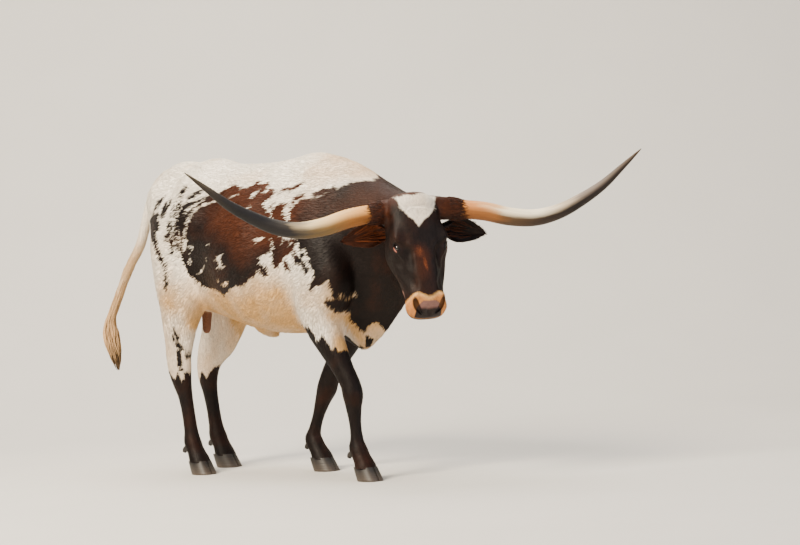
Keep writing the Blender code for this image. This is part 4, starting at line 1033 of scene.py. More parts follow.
def fused_body():
    """Trunk, neck and legs melted into one closed surface."""
    pieces = [trunk()]
    pieces += [leg(name, stations, side) for name, (stations, side) in LEGS.items()]
    body = melt(join(pieces, "body"), BODY_VOXEL, SMOOTH_PASSES)
    sculpt(body, body_strokes())
    return relax(body, TRUNK_PASSES, lambda p: np.clip((p[:, 2] - 0.55) / 0.12, 0, 1))


def poll():
    """The top of the head between the horns, once the neck is turned."""
    return turn_neck((POLL_X, 0, POLL_Z))


def horn_place(forward, out, rise):
    """A point given from the poll along the horns' own axes."""
    return poll() + Matrix.Rotation(TURN_ANGLE, 4, "Z") @ Vector((forward, out, rise))


def head_place(u, v, w):
    """A point of the head: u down the face from the poll, v to its left, w out from the face line."""
    down = Vector((math.sin(FACE_TILT), 0, -math.cos(FACE_TILT)))
    out = Vector((math.cos(FACE_TILT), 0, math.sin(FACE_TILT)))
    from_poll = down * u + out * w + Vector((0, v + FACE_SHIFT, 0))
    return poll() + Matrix.Rotation(TURN_ANGLE + FACE_TWIST, 4, "Z") @ from_poll


def head_turn():
    """The turn from the head's own axes, down the face, to its left and out from it, to the world's."""
    origin = head_place(0, 0, 0)
    axes = [head_place(*axis) - origin for axis in ((1, 0, 0), (0, 1, 0), (0, 0, 1))]
    return Matrix(axes).transposed().to_4x4()


def skull(rings=110, around=96):
    """The plain form of the head, in its own axes."""
    loops = []
    for u, top, low, half_width, widest, *rounds in resample(HEAD, rings):
        middle = low + (top - low) * widest
        ring = oval_ring(half_width, top, low, middle, rounds, around)
        loops.append([Vector((u, v, w)) for v, w in ring])
    return skin_rings("skull", loops)


def head_frame():
    """The move from the head's own axes to its place."""
    return Matrix.Translation(head_place(0, 0, 0)) @ head_turn()


def boss(side):
    """The haired boss of one horn, in the head's own axes."""
    back = head_frame().inverted()
    rows = [(*(back @ horn_place(*mirrored(place, side))), radius) for *place, radius in BOSS_PATH]
    return tube("boss", rows, 16)


def gaze(side):
    """The turn of an eye: its x towards the inner corner, its y up and its z out of the opening."""
    out = Vector((0.1, side * 0.74, 0.66)).normalized()
    corner = Vector((1, side * -0.3, 0.2))
    corner = (corner - out * corner.dot(out)).normalized()
    return Matrix((corner, out.cross(corner), out)).transposed().to_4x4()


def almond(name, centre, turn, half_length, half_height, depth):
    """A lens-shaped prism that cuts the opening between the lids."""
    outline = []
    for k in range(20):
        angle = 2 * math.pi * k / 20
        x = half_length * math.cos(angle)
        y = half_height * math.sin(angle) * abs(math.sin(angle)) ** 0.35
        outline.append((x, y))
    rings = []
    for z, grow in ((0, 0.75), (depth, 1.5)):
        rings.append([turn @ Vector((x * grow, y * grow, z)) + Vector(centre) for x, y in outline])
    return skin_rings(name, rings)


def lip_line(step):
    """The line between the lips on the skull's surface, as u and v from corner to corner of the mouth."""
    table = resample(HEAD, 400)
    inside = table[(table[:, 0] > MOUTH_CORNER) & (table[:, 1] > MOUTH_LINE + 0.006)]
    inside = inside[inside[:, 2] < MOUTH_LINE - 0.004][::step]
    side = []
    for u, top, low, half_width, widest, top_round, low_round in inside:
        middle = low + (top - low) * widest
        upper = MOUTH_LINE > middle
        end, power = (top, top_round) if upper else (low, low_round)
        rise = min((MOUTH_LINE - middle) / (end - middle), 1)
        side.append((u, half_width * (1 - rise**power) ** (1 / power)))
    return side + [(u, -v) for u, v in reversed(side)]


def mouth_groove(step):
    """A thin wedge along the line between the lips, round the front of the muzzle from corner to corner."""
    path = lip_line(step)
    up = Vector((0, 0, 1))
    rings = []
    for i, (u, v) in enumerate(path):
        before, after = path[max(i - 1, 0)], path[min(i + 1, len(path) - 1)]
        along = Vector((after[0] - before[0], after[1] - before[1], 0)).normalized()
        inwards = Vector((along.y, -along.x, 0))
        deep = MOUTH_DEPTH * min(i, len(path) - 1 - i, 6) / 6 + 0.001
        centre = Vector((u, v, MOUTH_LINE))
        ring = [
            centre + inwards * deep,
            centre + up * 0.0006 + inwards * (deep * 0.4),
            centre + up * MOUTH_WIDTH - inwards * 0.006,
            centre - up * MOUTH_WIDTH - inwards * 0.006,
            centre - up * 0.0006 + inwards * (deep * 0.4),
        ]
        rings.append(ring)
    return skin_rings("mouth", rings)


def place_on_head(obj):
    """Moves an object from the head's own axes to its place."""
    obj.data.transform(head_frame())
    obj.data.update()
    return obj


def switch_at(share):
    """The middle line of the switch and its radius at a share of its length."""
    rows = resample(SWITCH_PATH, 61)
    row = rows[round(min(max(share, 0), 1) * 60)]
    ahead = rows[min(round(share * 60) + 2, 60)] - rows[max(round(share * 60) - 2, 0)]
    return Vector(row[:3]), row[3], Vector(ahead[:3]).normalized()


def fine_head():
    """The head of the hide: skull, bosses, lids, nostrils and the line of the mouth."""
    pieces = [skull(), boss(LEFT), boss(RIGHT)]
    head = melt(join(pieces, "head"), HEAD_VOXEL, HEAD_PASSES)
    sculpt(head, both_sides(HEAD_STROKES))
    relax(head, 3, lambda p: np.ones(len(p)))
    sculpt(head, both_sides(FACE_STROKES))
    lids = [ball("lid", mirrored(EYE, side), LID_RADII, gaze(side), 48, 32) for side in (LEFT, RIGHT)]
    head = melt(join([head, *lids], "head"), HEAD_VOXEL, HEAD_PASSES)
    for side in (LEFT, RIGHT):
        turn = gaze(side)
        centre = mirrored(EYE, side)
        path = [(*mirrored(row, side), row[3]) for row in NOSTRIL_PATH]
        for cutter in (
            almond("almond", centre, turn, 0.0175, 0.007, 0.05),
            ball("socket", centre, (EYE_RADIUS + 0.0006,) * 3, turn, 40, 26),
            tube("nostril", path, 24, 40),
        ):
            boolean(head, weld(cutter), "DIFFERENCE", "MANIFOLD")
    boolean(head, weld(mouth_groove(3)), "DIFFERENCE", "MANIFOLD")
    near_cuts = cut_weights(head)
    relax(head, 3, lambda p: near_cuts)
    sink(head, settings().face_coat_depth)
    return place_on_head(head)


def cut_weights(head):
    """How near each vertex of the head is to a nostril, the mouth or an eye, in the head's own axes."""
    points = read_points(head.data)
    weight = np.zeros(len(points))
    for side in (LEFT, RIGHT):
        for row in NOSTRIL_PATH:
            far = np.linalg.norm(points - mirrored(row, side), axis=1)
            weight = np.maximum(weight, smooth_step(0.024, 0.012, far) * 0.8)
        far = np.linalg.norm(points - mirrored(EYE, side), axis=1)
        weight = np.maximum(weight, smooth_step(0.045, 0.03, far) * 0.45)
    line = np.abs(points[:, 2] - MOUTH_LINE)
    mouth = smooth_step(0.012, 0.005, line) * smooth_step(MOUTH_CORNER - 0.02, MOUTH_CORNER, points[:, 0])
    return np.maximum(weight, mouth * 0.6)


def ear_station(side, share):
    """An ear at a share of its length: middle, radius, half angle and the way out at an angle."""
    table = resample(EAR, 60)
    half_width = np.interp(share, table[:, 0], table[:, 1])
    half_angle = math.radians(np.interp(share, table[:, 0], table[:, 2]))
    level = Matrix.Rotation(TURN_ANGLE, 4, "Z")
    root = horn_place(*mirrored(EAR_ROOT, side))
    along = level @ Vector(mirrored(EAR_LINE, side)).normalized()
    faces = level @ Vector(mirrored(EAR_FACES, side))
    faces = (faces - along * faces.dot(along)).normalized()
    across = along.cross(faces)
    wide = half_angle < math.pi / 2
    radius = half_width / (math.sin(half_angle) if wide else 1)
    back = radius * math.cos(half_angle) if wide else 0
    middle = root + along * (EAR_LENGTH * share) + faces * back + Vector((0, 0, -0.018 * share**2))
    return middle, radius, half_angle, lambda angle: across * math.sin(angle) - faces * math.cos(angle)


def fine_ear(side):
    """One ear of the hide, a cupped leaf with a rim that waves a little."""
    level = Matrix.Rotation(TURN_ANGLE, 4, "Z")
    faces = level @ Vector(mirrored(EAR_FACES, side)).normalized()
    arc = 30
    loops = []
    for share, _, _, thick in resample(EAR, 46):
        middle, radius, half_angle, reach_of = ear_station(side, share)
        wave = 0.0022 * math.sin(share * 17 + side)
        loop = []
        for k in list(range(arc)) + list(reversed(range(arc))):
            outer = len(loop) < arc
            angle = half_angle * (2 * k / (arc - 1) - 1) * (1 if outer else 0.985)
            edge = abs(2 * k / (arc - 1) - 1) ** 4
            fold = 0.0016 * math.cos(angle * 9) * (1 - edge) * min(share * 3, 1)
            wall = 0 if outer else (thick - 0.0015) * (1 - 0.75 * edge) + fold
            loop.append(middle + reach_of(angle) * (radius - 0.001 - wall) + faces * wave * edge)
        loops.append(loop)
    return skin_rings("ear", loops)


def fused_hide():
    """The one skin: trunk and legs, head, ears, tail, pouch and navel fold, as one closed surface."""
    body = fused_body()
    sink(body, settings().coat_depth)
    boolean(body, box("floor_cut", (0, 0, HIDE_FOOT - 0.5), (4, 4, 1)), "DIFFERENCE", "EXACT")
    thin_tail = resample(TAIL_PATH, 60) - (0, 0, 0, TAIL_COAT)
    parts = [fine_head(), fine_ear(LEFT), fine_ear(RIGHT), tube("tail", thin_tail, 28, 60)]
    for name, path in (("pouch", POUCH_PATH), ("sheath", SHEATH_PATH)):
        parts.append(tube(name, resample(path, 24), 28, 24))
    sources = [read_points(body.data)] + [read_points(part.data) for part in parts]
    for part in parts:
        boolean(body, weld(part), "UNION", "MANIFOLD")
    body = largest(body)
    body.name = "hide"
    soften_seams(body, sources)
    return body, sources


def point_tree(points):
    """A search tree for the nearest of some points."""
    tree = KDTree(max(len(points), 1))
    for i, point in enumerate(points):
        tree.insert(point, i)
    tree.balance()
    return tree


def soften_seams(obj, sources):
    """Relaxes the skin where its parts run into one another."""
    tree = point_tree(np.concatenate(sources))
    points = read_points(obj.data)
    new = np.array([tree.find(point)[2] > 2e-5 for point in points])
    seam = point_tree(points[new])
    far = np.array([seam.find(point)[2] for point in points])
    reach = np.where(points[:, 2] < HIDE_FOOT + 0.01, 1, far)
    weights = smooth_step(0.03, 0.004, reach)
    relax(obj, 14, lambda p: weights)


def head_coordinates(points):
    """Points as u down the face, v to its left and w out from it."""
    back = np.array(head_frame().inverted())
    return points @ back[:3, :3].T + back[:3, 3]


def outline_field(outline, across, up):
    """Distance inside a closed outline, in metres, and minus the distance outside it."""
    corners = np.array(outline)
    inside = np.zeros(len(across), bool)
    nearest = np.full(len(across), 9.0)
    for (ax, az), (bx, bz) in zip(corners, np.roll(corners, -1, axis=0)):
        length = max((bx - ax) ** 2 + (bz - az) ** 2, 1e-12)
        share = np.clip(((across - ax) * (bx - ax) + (up - az) * (bz - az)) / length, 0, 1)
        gap = np.hypot(across - ax - share * (bx - ax), up - az - share * (bz - az))
        nearest = np.minimum(nearest, gap)
        crosses = (az > up) != (bz > up)
        height = np.where(abs(bz - az) < 1e-9, 1e-9, bz - az)
        inside ^= crosses & (across < (bx - ax) * (up - az) / height + ax)
    return np.where(inside, nearest, -nearest)


def spot_field(spots, across, up):
    """The same for a group of tilted oval spots."""
    field = np.full(len(across), -9.0)
    for x, z, long_radius, short_radius, tilt in spots:
        c, s = math.cos(math.radians(tilt)), math.sin(math.radians(tilt))
        a = ((across - x) * c + (up - z) * s) / long_radius
        b = ((up - z) * c - (across - x) * s) / short_radius
        field = np.maximum(field, (1 - np.hypot(a, b)) * short_radius)
    return field


def side_field(points, outlines, spots, gaps):
    """Dark marks of one side, from its outlines, its spots and the gaps in them."""
    x, z = points[:, 0], points[:, 2]
    field = np.maximum.reduce([outline_field(outline, x, z) for outline in outlines])
    field = np.maximum(field, spot_field(spots, x, z))
    return np.minimum(field, -spot_field(gaps, x, z))


def leg_of(points):
    """For each leg, how much of each point belongs to it."""
    shares = {}
    for name, (stations, side) in LEGS.items():
        table = resample(stations, 60)
        order = np.argsort(table[:, 2])
        middle = np.interp(points[:, 2], table[order, 2], table[order, 0])
        behind = np.interp(points[:, 2], [0.55, 0.76], [0.19, 0.125])
        ahead = np.interp(points[:, 2], [0.5, 0.7], [0.19, 0.085])
        away = points[:, 0] - middle
        near = smooth_step(0.03, -0.01, np.maximum(away - ahead, -away - behind))
        beside = smooth_step(-0.01, 0.03, side * points[:, 1])
        shares[name] = near * beside * smooth_step(0.8, 0.7, points[:, 2])
    return shares


def interpolate(line, values):
    """Heights of a line of points at the values given."""
    return np.interp(values, *np.array(line).T)


def oval_share(oval, edge, across, up):
    """A soft oval spot: 0 outside it, 1 from an edge's width inwards."""
    return np.clip(spot_field((oval,), across, up) / edge, 0, 1)


def dark_marks(skin):
    """How far inside the dark coat each point lies, in metres, and how much of it belongs to a leg."""
    x, y, z = skin.points.T
    right = side_field(skin.points, RIGHT_OUTLINES, RIGHT_SPOTS, RIGHT_GAPS)
    left = side_field(skin.points, LEFT_OUTLINES, LEFT_SPOTS, LEFT_GAPS)
    across = smooth_step(-0.015, 0.015, y)
    dark = right * (1 - across) + left * across
    # The neck is dark, down to the pale brisket, and the back keeps a white line
    dark = np.where(x > 0.6, np.maximum(dark, np.minimum(x - 0.715, 0.1)), dark)
    front = np.minimum(np.maximum(dark, x - 0.592), z - interpolate(BRISKET_LINE, x))
    dark = np.where((x > 0.56) & (z < 0.8), front, dark)
    dark = dark + 0.0015 + 0.005 * smooth_step(-0.44, -0.52, x) * (z > 0.85)
    dark = np.where(x < 0.76, np.minimum(dark, (interpolate(TOP_LINE, x) - z) * 0.7), dark)
    leg_weight = np.zeros(len(x))
    for name, (line, spots) in LEG_DARK.items():
        own = skin.legs[name]
        field = interpolate(line, x) - z
        if spots:
            field = np.maximum(field, spot_field(spots, x, z))
        alone = field * (own > 0.5) - FAR_AWAY * (own <= 0.5)
        mixed = np.maximum(dark * (1 - own) + field * own, alone)
        dark = np.where((z < 0.8) & (own > leg_weight), mixed, dark)
        leg_weight = np.maximum(leg_weight, own)
    return dark, leg_weight


def black_marks(skin, leg_weight):
    """How black the dark coat is, rather than brown, and how red the poll's hair is, both from 0 to 1."""
    x, _, z = skin.points.T
    u, v, w = skin.head.T
    black = smooth_step(1.14, 0.98, z + 0.06 * np.sin(x * 11)) * smooth_step(0.5, 0.2, x) * 0.95
    black = np.maximum(black, smooth_step(-0.02, -0.22, x))
    shoulder = 0.62 + 0.38 * smooth_step(1.22, 1.02, z)
    black = np.where(x > 0.36, np.maximum(black, shoulder * smooth_step(0.36, 0.46, x)), black)
    black = np.maximum(black, smooth_step(0.8, 0.9, x) * 0.95)
    black = np.maximum(black, leg_weight * 0.98)
    # The poll and the bosses are red, the bridge of the nose is brown and the right ear is reddish inside
    reach_boss = smooth_step(0.085, 0.13, abs(v)) * smooth_step(0.13, 0.04, u)
    top = smooth_step(0.075, -0.01, u) * smooth_step(-0.14, -0.02, w)
    red = np.clip(np.maximum(reach_boss, top), 0, 1) * skin.on_head
    bridge = smooth_step(0.05, 0.015, abs(v + 0.012)) * smooth_step(0.2, 0.26, u) * smooth_step(0.4, 0.3, u)
    black = np.where(skin.head_share > 0.5, 0.95 - 0.85 * red - 0.4 * bridge, black)
    right_ear = skin.ear_share * (v < 0)
    return black * (1 - 0.55 * right_ear), np.maximum(red, 0.6 * right_ear)


def tan_and_shade_marks(skin, leg_weight):
    """How tan the white coat is, from 0 to 1: most on the belly, the brisket and the tail's end. On the
    belly and the brisket the tan that grows lower down is partly stained hair and partly painted shade.
    """
    x, _, z = skin.points.T
    # Partly painted shade: the coat turns tan towards the belly and between the forelegs, where shade falls
    tan = 0.95 * smooth_step(1.02, 0.76, z) * smooth_step(-0.66, -0.36, x) * (1 - 0.55 * leg_weight)
    tan = np.maximum(tan, 0.35 * smooth_step(0.95, 0.75, z))
    tan *= 1 - 0.75 * smooth_step(0.3, 0.4, x) * smooth_step(0.64, 0.54, x)
    for patch in (
        smooth_step(0.53, 0.58, x) * smooth_step(0.65, 0.61, x) * smooth_step(0.78, 0.72, z),
        0.35 * smooth_step(0.58, 0.64, x) * smooth_step(0.8, 0.7, z),
        0.6 * smooth_step(0.3, 0.55, x) * smooth_step(1.28, 1.35, z),
        0.75 * skin.tail_share * smooth_step(1.24, 0.96, z),
    ):
        tan = np.maximum(tan, patch)
    return np.clip(np.where(skin.on_head, 0.04, tan), 0, 1)


def mark_eyes(skin):
    """Writes the dark rims of the lids and the pale flecks at the eyes' inner corners. The right eye's fleck
    is painted stronger, as painted light on the lit side.
    """
    rim = np.full(len(skin.head), OUTSIDE)
    fleck = np.zeros(len(skin.head))
    # The reddish inner lid is the skin's own colour; on the right eye, the lit side, it is painted stronger
    # as painted light
    for side, strength in ((LEFT, 0.5), (RIGHT, 0.85)):
        across, up, out = ((skin.head - mirrored(EYE, side)) @ np.array(gaze(side))[:3, :3]).T
        lid = np.hypot(across / 0.024, up / 0.015)
        rim = np.where(out > 0, np.maximum(rim, (1 - lid) * 0.015), rim)
        low = np.hypot((across - 0.005) / 0.012, (up - side * 0.0095) / 0.0042)
        fleck = np.maximum(fleck, smooth_step(1.25, 0.75, low) * (out > 0) * strength)
    store(skin.mesh, "rim", np.where(skin.on_head, smooth_step(-0.004, 0.001, rim), 0))
    store(skin.mesh, "fleck", np.where(skin.on_head, fleck, 0))


def mark_muzzle(skin):
    """Writes the band round the muzzle, the bare skin of nose, lips and chin, and the painted shade in the
    nostrils' hollows.
    """
    u, v, w = skin.head.T
    band = np.minimum(u - (0.438 + 0.01 * np.cos(v * 60)), 0.05)
    band = np.minimum(band, w + 0.15)
    # Painted highlight: the band is paler along its upper edge, where light falls on the top of the muzzle
    pale = smooth_step(0.024, 0.004, band) * smooth_step(0.1, 0.06, abs(v))
    plate = outline_field(NOSE_PLATE, u, abs(v))
    plate = np.where(w > MOUTH_LINE + 0.01, plate, -0.02)
    lips = 0.0065 - np.hypot(w - MOUTH_LINE, np.maximum(MOUTH_CORNER - u, 0))
    chin = np.minimum(u - 0.47, MOUTH_LINE + 0.002 - w)
    dark_lip = smooth_step(0.483, 0.497, u + 0.1 * np.maximum(-0.075 - w, 0))
    # Painted shade: the nostrils' hollows are coloured near black
    nostril = np.full(len(u), OUTSIDE)
    for side in (LEFT, RIGHT):
        for row in resample(NOSTRIL_PATH, 22):
            far = np.linalg.norm(skin.head - mirrored(row, side), axis=1)
            nostril = np.maximum(nostril, row[3] + 0.0005 - far)
    for name, values, elsewhere in (
        ("muzzle", band, OUTSIDE),
        ("bare", np.maximum.reduce([plate, lips, chin]), OUTSIDE),
        ("lip", dark_lip, 0),
        ("band_highlight", pale, 0),
        ("nostril_shade", smooth_step(-0.0035, 0.001, nostril), 0),
    ):
        store(skin.mesh, name, np.where(skin.on_head, values, elsewhere))


def read_skin(mesh, sources):
    """The skin's points, also in the head's own axes, and which of the animal's parts they belong to."""
    points = read_points(mesh)
    part = nearest_part(points, sources)
    on_ear = (part == LEFT_EAR_PART) | (part == RIGHT_EAR_PART)
    return SimpleNamespace(
        mesh=mesh,
        points=points,
        head=head_coordinates(points),
        part=part,
        on_head=part == HEAD_PART,
        head_share=soften(mesh, ((part == HEAD_PART) | on_ear).astype(float), 3),
        ear_share=soften(mesh, on_ear.astype(float), 3),
        tail_share=soften(mesh, (part == TAIL_PART).astype(float), 3),
        legs=leg_of(points),
    )


def mark_hide(skin):
    """Writes the markings, the lie of the hair and the parts' shares onto the skin."""
    mesh = skin.mesh
    u, v, w = skin.head.T
    dark, leg_weight = dark_marks(skin)
    black, red = black_marks(skin, leg_weight)
    # The face is dark but for the star, and the tail and the navel fold are pale
    dark = np.where(skin.head_share > 0.5, 0.05, dark)
    star = np.where((w > -0.075) & (u < 0.2) & (u > -0.03), outline_field(STAR, u, v), OUTSIDE)
    dark = np.where(skin.on_head, -star, dark)
    dark = np.where((skin.part == TAIL_PART) | (skin.part == SHEATH_PART), OUTSIDE, dark)
    rust = oval_share((0.31, -0.002, 0.036, 0.01, 6), 0.008, u, v)
    rust = np.maximum(rust, 0.45 * oval_share((0.255, -0.022, 0.034, 0.022, 20), 0.015, u, v))
    mark_muzzle(skin)
    mark_eyes(skin)
    for name, values in (
        ("rust", rust * skin.on_head * (w > -0.06)),
        ("pouch", soften(mesh, (skin.part == POUCH_PART).astype(float), 3)),
        ("dark", dark),
        ("black", soften(mesh, np.clip(black, 0, 1), 3)),
        ("red", soften(mesh, red, 4)),
        ("tan", soften(mesh, tan_and_shade_marks(skin, leg_weight), 6)),
        ("head_share", skin.head_share),
        ("leg_share", soften(mesh, np.maximum(leg_weight, skin.tail_share), 4)),
        ("ear_share", skin.ear_share),
        ("root", skin.points + np.array(TO_ORIGIN)),
        ("lie", hair_lie(skin, leg_weight)),
    ):
        store(mesh, name, values)


def nearest_part(points, sources):
    """Which of the parts each point of the skin came from."""
    best = np.full(len(points), FAR_AWAY)
    part = np.zeros(len(points), int)
    for number, source in enumerate(sources):
        low, high = source.min(axis=0) - 0.03, source.max(axis=0) + 0.03
        inside = np.nonzero(((points > low) & (points < high)).all(axis=1))[0]
        tree = point_tree(source)
        for i in inside:
            far = tree.find(points[i])[2]
            if far < best[i] - (1e-6 if number else 0):
                best[i] = far
                part[i] = number
    return part


def mix_rows(first, second, share):
    """Rows of one table turned into those of another by each row's share."""
    return first * (1 - share[:, None]) + second * share[:, None]


def hair_lie(skin, leg_weight):
    """The direction in which the hair lies at each vertex."""
    x, _, z = skin.points.T
    u, v, _ = skin.head.T
    flat = np.zeros(len(x))
    heading = TURN_ANGLE * smooth_step(TURN_START, TURN_END, x)
    lie = np.stack((-np.cos(heading), -np.sin(heading), -0.32 - 0.5 * smooth_step(1.15, 0.8, z)), axis=1)
    lie[:, 2] -= 0.8 * smooth_step(-0.5, -0.68, x)
    lie = mix_rows(lie, np.array((-0.12, 0, -1)), leg_weight)
    # Down the face and outwards, and along the bosses
    down = np.stack((smooth_step(0.02, 0.1, u) * 2 - 1, 2.2 * v, flat - 0.1), axis=1)
    outwards = np.stack((flat + 0.25, np.sign(v), flat), axis=1)
    down = mix_rows(down, outwards, smooth_step(0.1, 0.14, abs(v)) * smooth_step(0.13, 0.07, u))
    lie = mix_rows(lie, down @ np.array(head_turn())[:3, :3].T, skin.head_share)
    level = Matrix.Rotation(TURN_ANGLE, 4, "Z")
    for side in (LEFT, RIGHT):
        along = level @ Vector(mirrored(EAR_LINE, side)).normalized()
        lie = mix_rows(lie, np.array(along), skin.ear_share * (side * v > 0))
    lie = mix_rows(lie, np.array((-0.15, -0.05, -1.0)), skin.tail_share)
    lie = soften(skin.mesh, lie, 6)
    return lie / np.maximum(np.linalg.norm(lie, axis=1), 1e-6)[:, None]


def feed(tree, node, sockets):
    """Gives each socket of a node a value, or links it to the output of another node."""
    for key, value in sockets.items():
        if isinstance(value, bpy.types.NodeSocket):
            tree.links.new(value, node.inputs[key])
        else:
            node.inputs[key].default_value = value
    return node


def add_node(tree, kind, options=None, sockets=None):
    """One node with its settings and the values or links of its sockets."""
    made = tree.nodes.new(kind)
    for name, value in (options or {}).items():
        setattr(made, name, value)
    return feed(tree, made, sockets or {})


def read_mark(tree, name, output="Fac"):
    """What the mesh carries under a name, as a number or as a vector."""
    return add_node(tree, "ShaderNodeAttribute", {"attribute_name": name}).outputs[output]


def reckon(tree, operation, *values, clamp=False):
    """The result of a sum or a product of numbers."""
    options = {"operation": operation, "use_clamp": clamp}
    return add_node(tree, "ShaderNodeMath", options, dict(enumerate(values))).outputs[0]


def remap(tree, value, low, high, new_low, new_high):
    """A number carried over from one range to another, and held within it."""
    sockets = {0: value, 1: low, 2: high, 3: new_low, 4: new_high}
    return add_node(tree, "ShaderNodeMapRange", None, sockets).outputs[0]


def blend(tree, share, first, second, kind="MIX"):
    """Two colours mixed by a share, or one multiplied by the other."""
    options = {"data_type": "RGBA", "blend_type": kind}
    return add_node(tree, "ShaderNodeMix", options, {0: share, 6: first, 7: second}).outputs[2]


def blend_numbers(tree, share, first, second):
    return add_node(tree, "ShaderNodeMix", None, {0: share, 2: first, 3: second}).outputs[0]


def solid(colour):
    """A colour with the full cover that sockets ask for."""
    return (*colour, 1)


def stretch(tree, place, scale, turn=(0, 0, 0)):
    """A place turned and scaled, so that a pattern on it runs one way. Scales count cells in a metre."""
    sockets = {"Vector": place, "Rotation": turn, "Scale": scale}
    return add_node(tree, "ShaderNodeMapping", None, sockets).outputs[0]


def noise(tree, place, scale, detail):
    """Noise between 0 and 1, mostly near the middle."""
    sockets = {"Vector": place, "Scale": scale, "Detail": detail}
    return add_node(tree, "ShaderNodeTexNoise", None, sockets).outputs["Fac"]


def emboss(tree, height, distance, strength, under=None):
    """A bump of a height in metres, over another one where that is given."""
    sockets = {"Height": height, "Distance": distance, "Strength": strength}
    if under is not None:
        sockets["Normal"] = under
    return add_node(tree, "ShaderNodeBump", None, sockets).outputs[0]


def new_material(name):
    """An empty material with its tree, principled shader and output."""
    material = bpy.data.materials.new(name)
    material.use_nodes = True
    tree = material.node_tree
    tree.nodes.clear()
    shader = add_node(tree, "ShaderNodeBsdfPrincipled")
    add_node(tree, "ShaderNodeOutputMaterial", None, {"Surface": shader.outputs[0]})
    return material, tree, shader


def coat_colour(tree):
    """Colour of the coat from the marks on the hide, how dark and how bare it is, and each point's place."""
    colours = settings()
    root = read_mark(tree, "root", "Vector")
    marks = {name: read_mark(tree, name) for name in MARKS}
    # Frayed edges: streaks some 30 mm long and 10 mm wide that run with the coat, and single locks of 4 mm
    along = stretch(tree, root, (32, 60, 95), (0, -0.55, 0))
    locks = noise(tree, along, 3.4, 2.0)
    streaks = remap(tree, noise(tree, along, 1.0, 3.0), 0.25, 0.75, -STREAK_FRAY, STREAK_FRAY)
    singles = remap(tree, locks, 0.25, 0.75, -LOCK_FRAY, LOCK_FRAY)
    calm = remap(tree, read_mark(tree, "head_share"), 0.3, 0.7, 1.0, 0.3)
    ragged = reckon(tree, "MULTIPLY", reckon(tree, "ADD", streaks, singles), calm)
    shares = {}
    for name, strength, soft in (("dark", 1.0, 0.003), ("muzzle", 0.9, 0.006), ("bare", 0.25, 0.0022)):
        moved = reckon(tree, "MULTIPLY_ADD", ragged, strength, marks[name])
        shares[name] = remap(tree, moved, -soft, soft, 0.0, 1.0)
    # Cloudy differences of a hand's width over the whole coat
    cloud = noise(tree, root, 7.0, 4.0)
    # The tan mark carries stained hair and the painted shade of the belly and the brisket
    tan = reckon(tree, "ADD", marks["tan"], remap(tree, cloud, 0.3, 0.7, -0.22, 0.26), clamp=True)
    black = reckon(tree, "ADD", marks["black"], remap(tree, cloud, 0.3, 0.7, 0.3, -0.3), clamp=True)
    white = blend(tree, tan, solid(colours.white_hair), solid(colours.tan_hair_and_shade))
    deep = blend(tree, black, solid(colours.brown_hair), solid(colours.black_hair))
    reddish = blend(tree, marks["red"], deep, solid(colours.poll_hair))
    rust = reckon(tree, "MULTIPLY", marks["rust"], remap(tree, locks, 0.35, 0.62, 0.1, 0.95))
    reddish = blend(tree, rust, reddish, solid(colours.rust_hair))
    # The band is paler along its upper edge, a painted highlight where light falls on the top of the muzzle.
    # The nose is pinkish between the nostrils and dark at the lips
    band = blend(tree, marks["band_highlight"], solid(colours.muzzle_hair), solid(colours.muzzle_highlight))
    # The pinkish nose colour is partly the bare skin's own and partly a painted wet highlight
    nose = blend(tree, marks["lip"], solid(colours.nose_skin_and_sheen), solid(colours.lip_skin))
    mixed = white
    for share, top in (
        (shares["dark"], reddish),
        (marks["pouch"], solid(colours.pouch_skin)),
        (shares["muzzle"], band),
        (shares["bare"], nose),
        (marks["rim"], solid(colours.lid_skin)),
        (marks["fleck"], solid(colours.inner_lid)),
        (marks["nostril_shade"], solid(NOSTRIL_SHADE_COLOUR)),
    ):
        mixed = blend(tree, share, mixed, top)
    mixed = blend(tree, 1.0, mixed, remap(tree, locks, 0.3, 0.7, 0.8, 1.16), "MULTIPLY")
    return {"colour": mixed, "dark": shares["dark"], "bare": shares["bare"], "root": root}


def hide_material():
    """Short cattle coat: hair lies flat, so the eye sees soft streaks, duller on white than on dark."""
    material, tree, shader = new_material("short cattle coat")
    look = coat_colour(tree)
    root = look["root"]
    # Locks of short hair 3 mm wide and 25 mm long, which lie back on the trunk and down on legs and face.
    # Real hair is far finer, and is drawn this coarse so that it shows
    on_trunk = stretch(tree, root, (38, 300, 330), (0, -0.4, 0))
    streak = noise(tree, on_trunk, 1.0, 3.0)
    face_turn = (0, FACE_TILT - math.pi / 2, -(TURN_ANGLE + FACE_TWIST))
    frames = (("head_share", face_turn, (330, 330, 40)), ("leg_share", (0, 0, 0), (330, 330, 36)))
    for name, turn, scale in frames:
        fine = noise(tree, stretch(tree, root, scale, turn), 1.0, 3.0)
        streak = blend_numbers(tree, read_mark(tree, name), streak, fine)
    height = reckon(tree, "MULTIPLY_ADD", noise(tree, on_trunk, 0.28, 2.0), 0.9, streak)
    bump = emboss(tree, height, 0.0011, remap(tree, look["bare"], 0.0, 1.0, 0.55, 0.15))
    # Wrinkled grain of the bare nose, 2 mm
    cells = add_node(tree, "ShaderNodeTexVoronoi", None, {"Vector": root, "Scale": 420.0})
    pebbled = remap(tree, look["bare"], 0.5, 1.0, 0.0, 0.5)
    bump = emboss(tree, cells.outputs["Distance"], 0.0009, pebbled, bump)
    rough = remap(tree, look["dark"], 0.0, 1.0, 0.66, 0.46)
    streaked = reckon(tree, "MULTIPLY_ADD", streak, 0.16, rough)
    wet = blend_numbers(tree, look["bare"], streaked, 0.34)
    feed(tree, shader, {"Base Color": look["colour"], "Roughness": wet, "Normal": bump})
    feed(tree, shader, {"Specular IOR Level": 0.16})
    return material


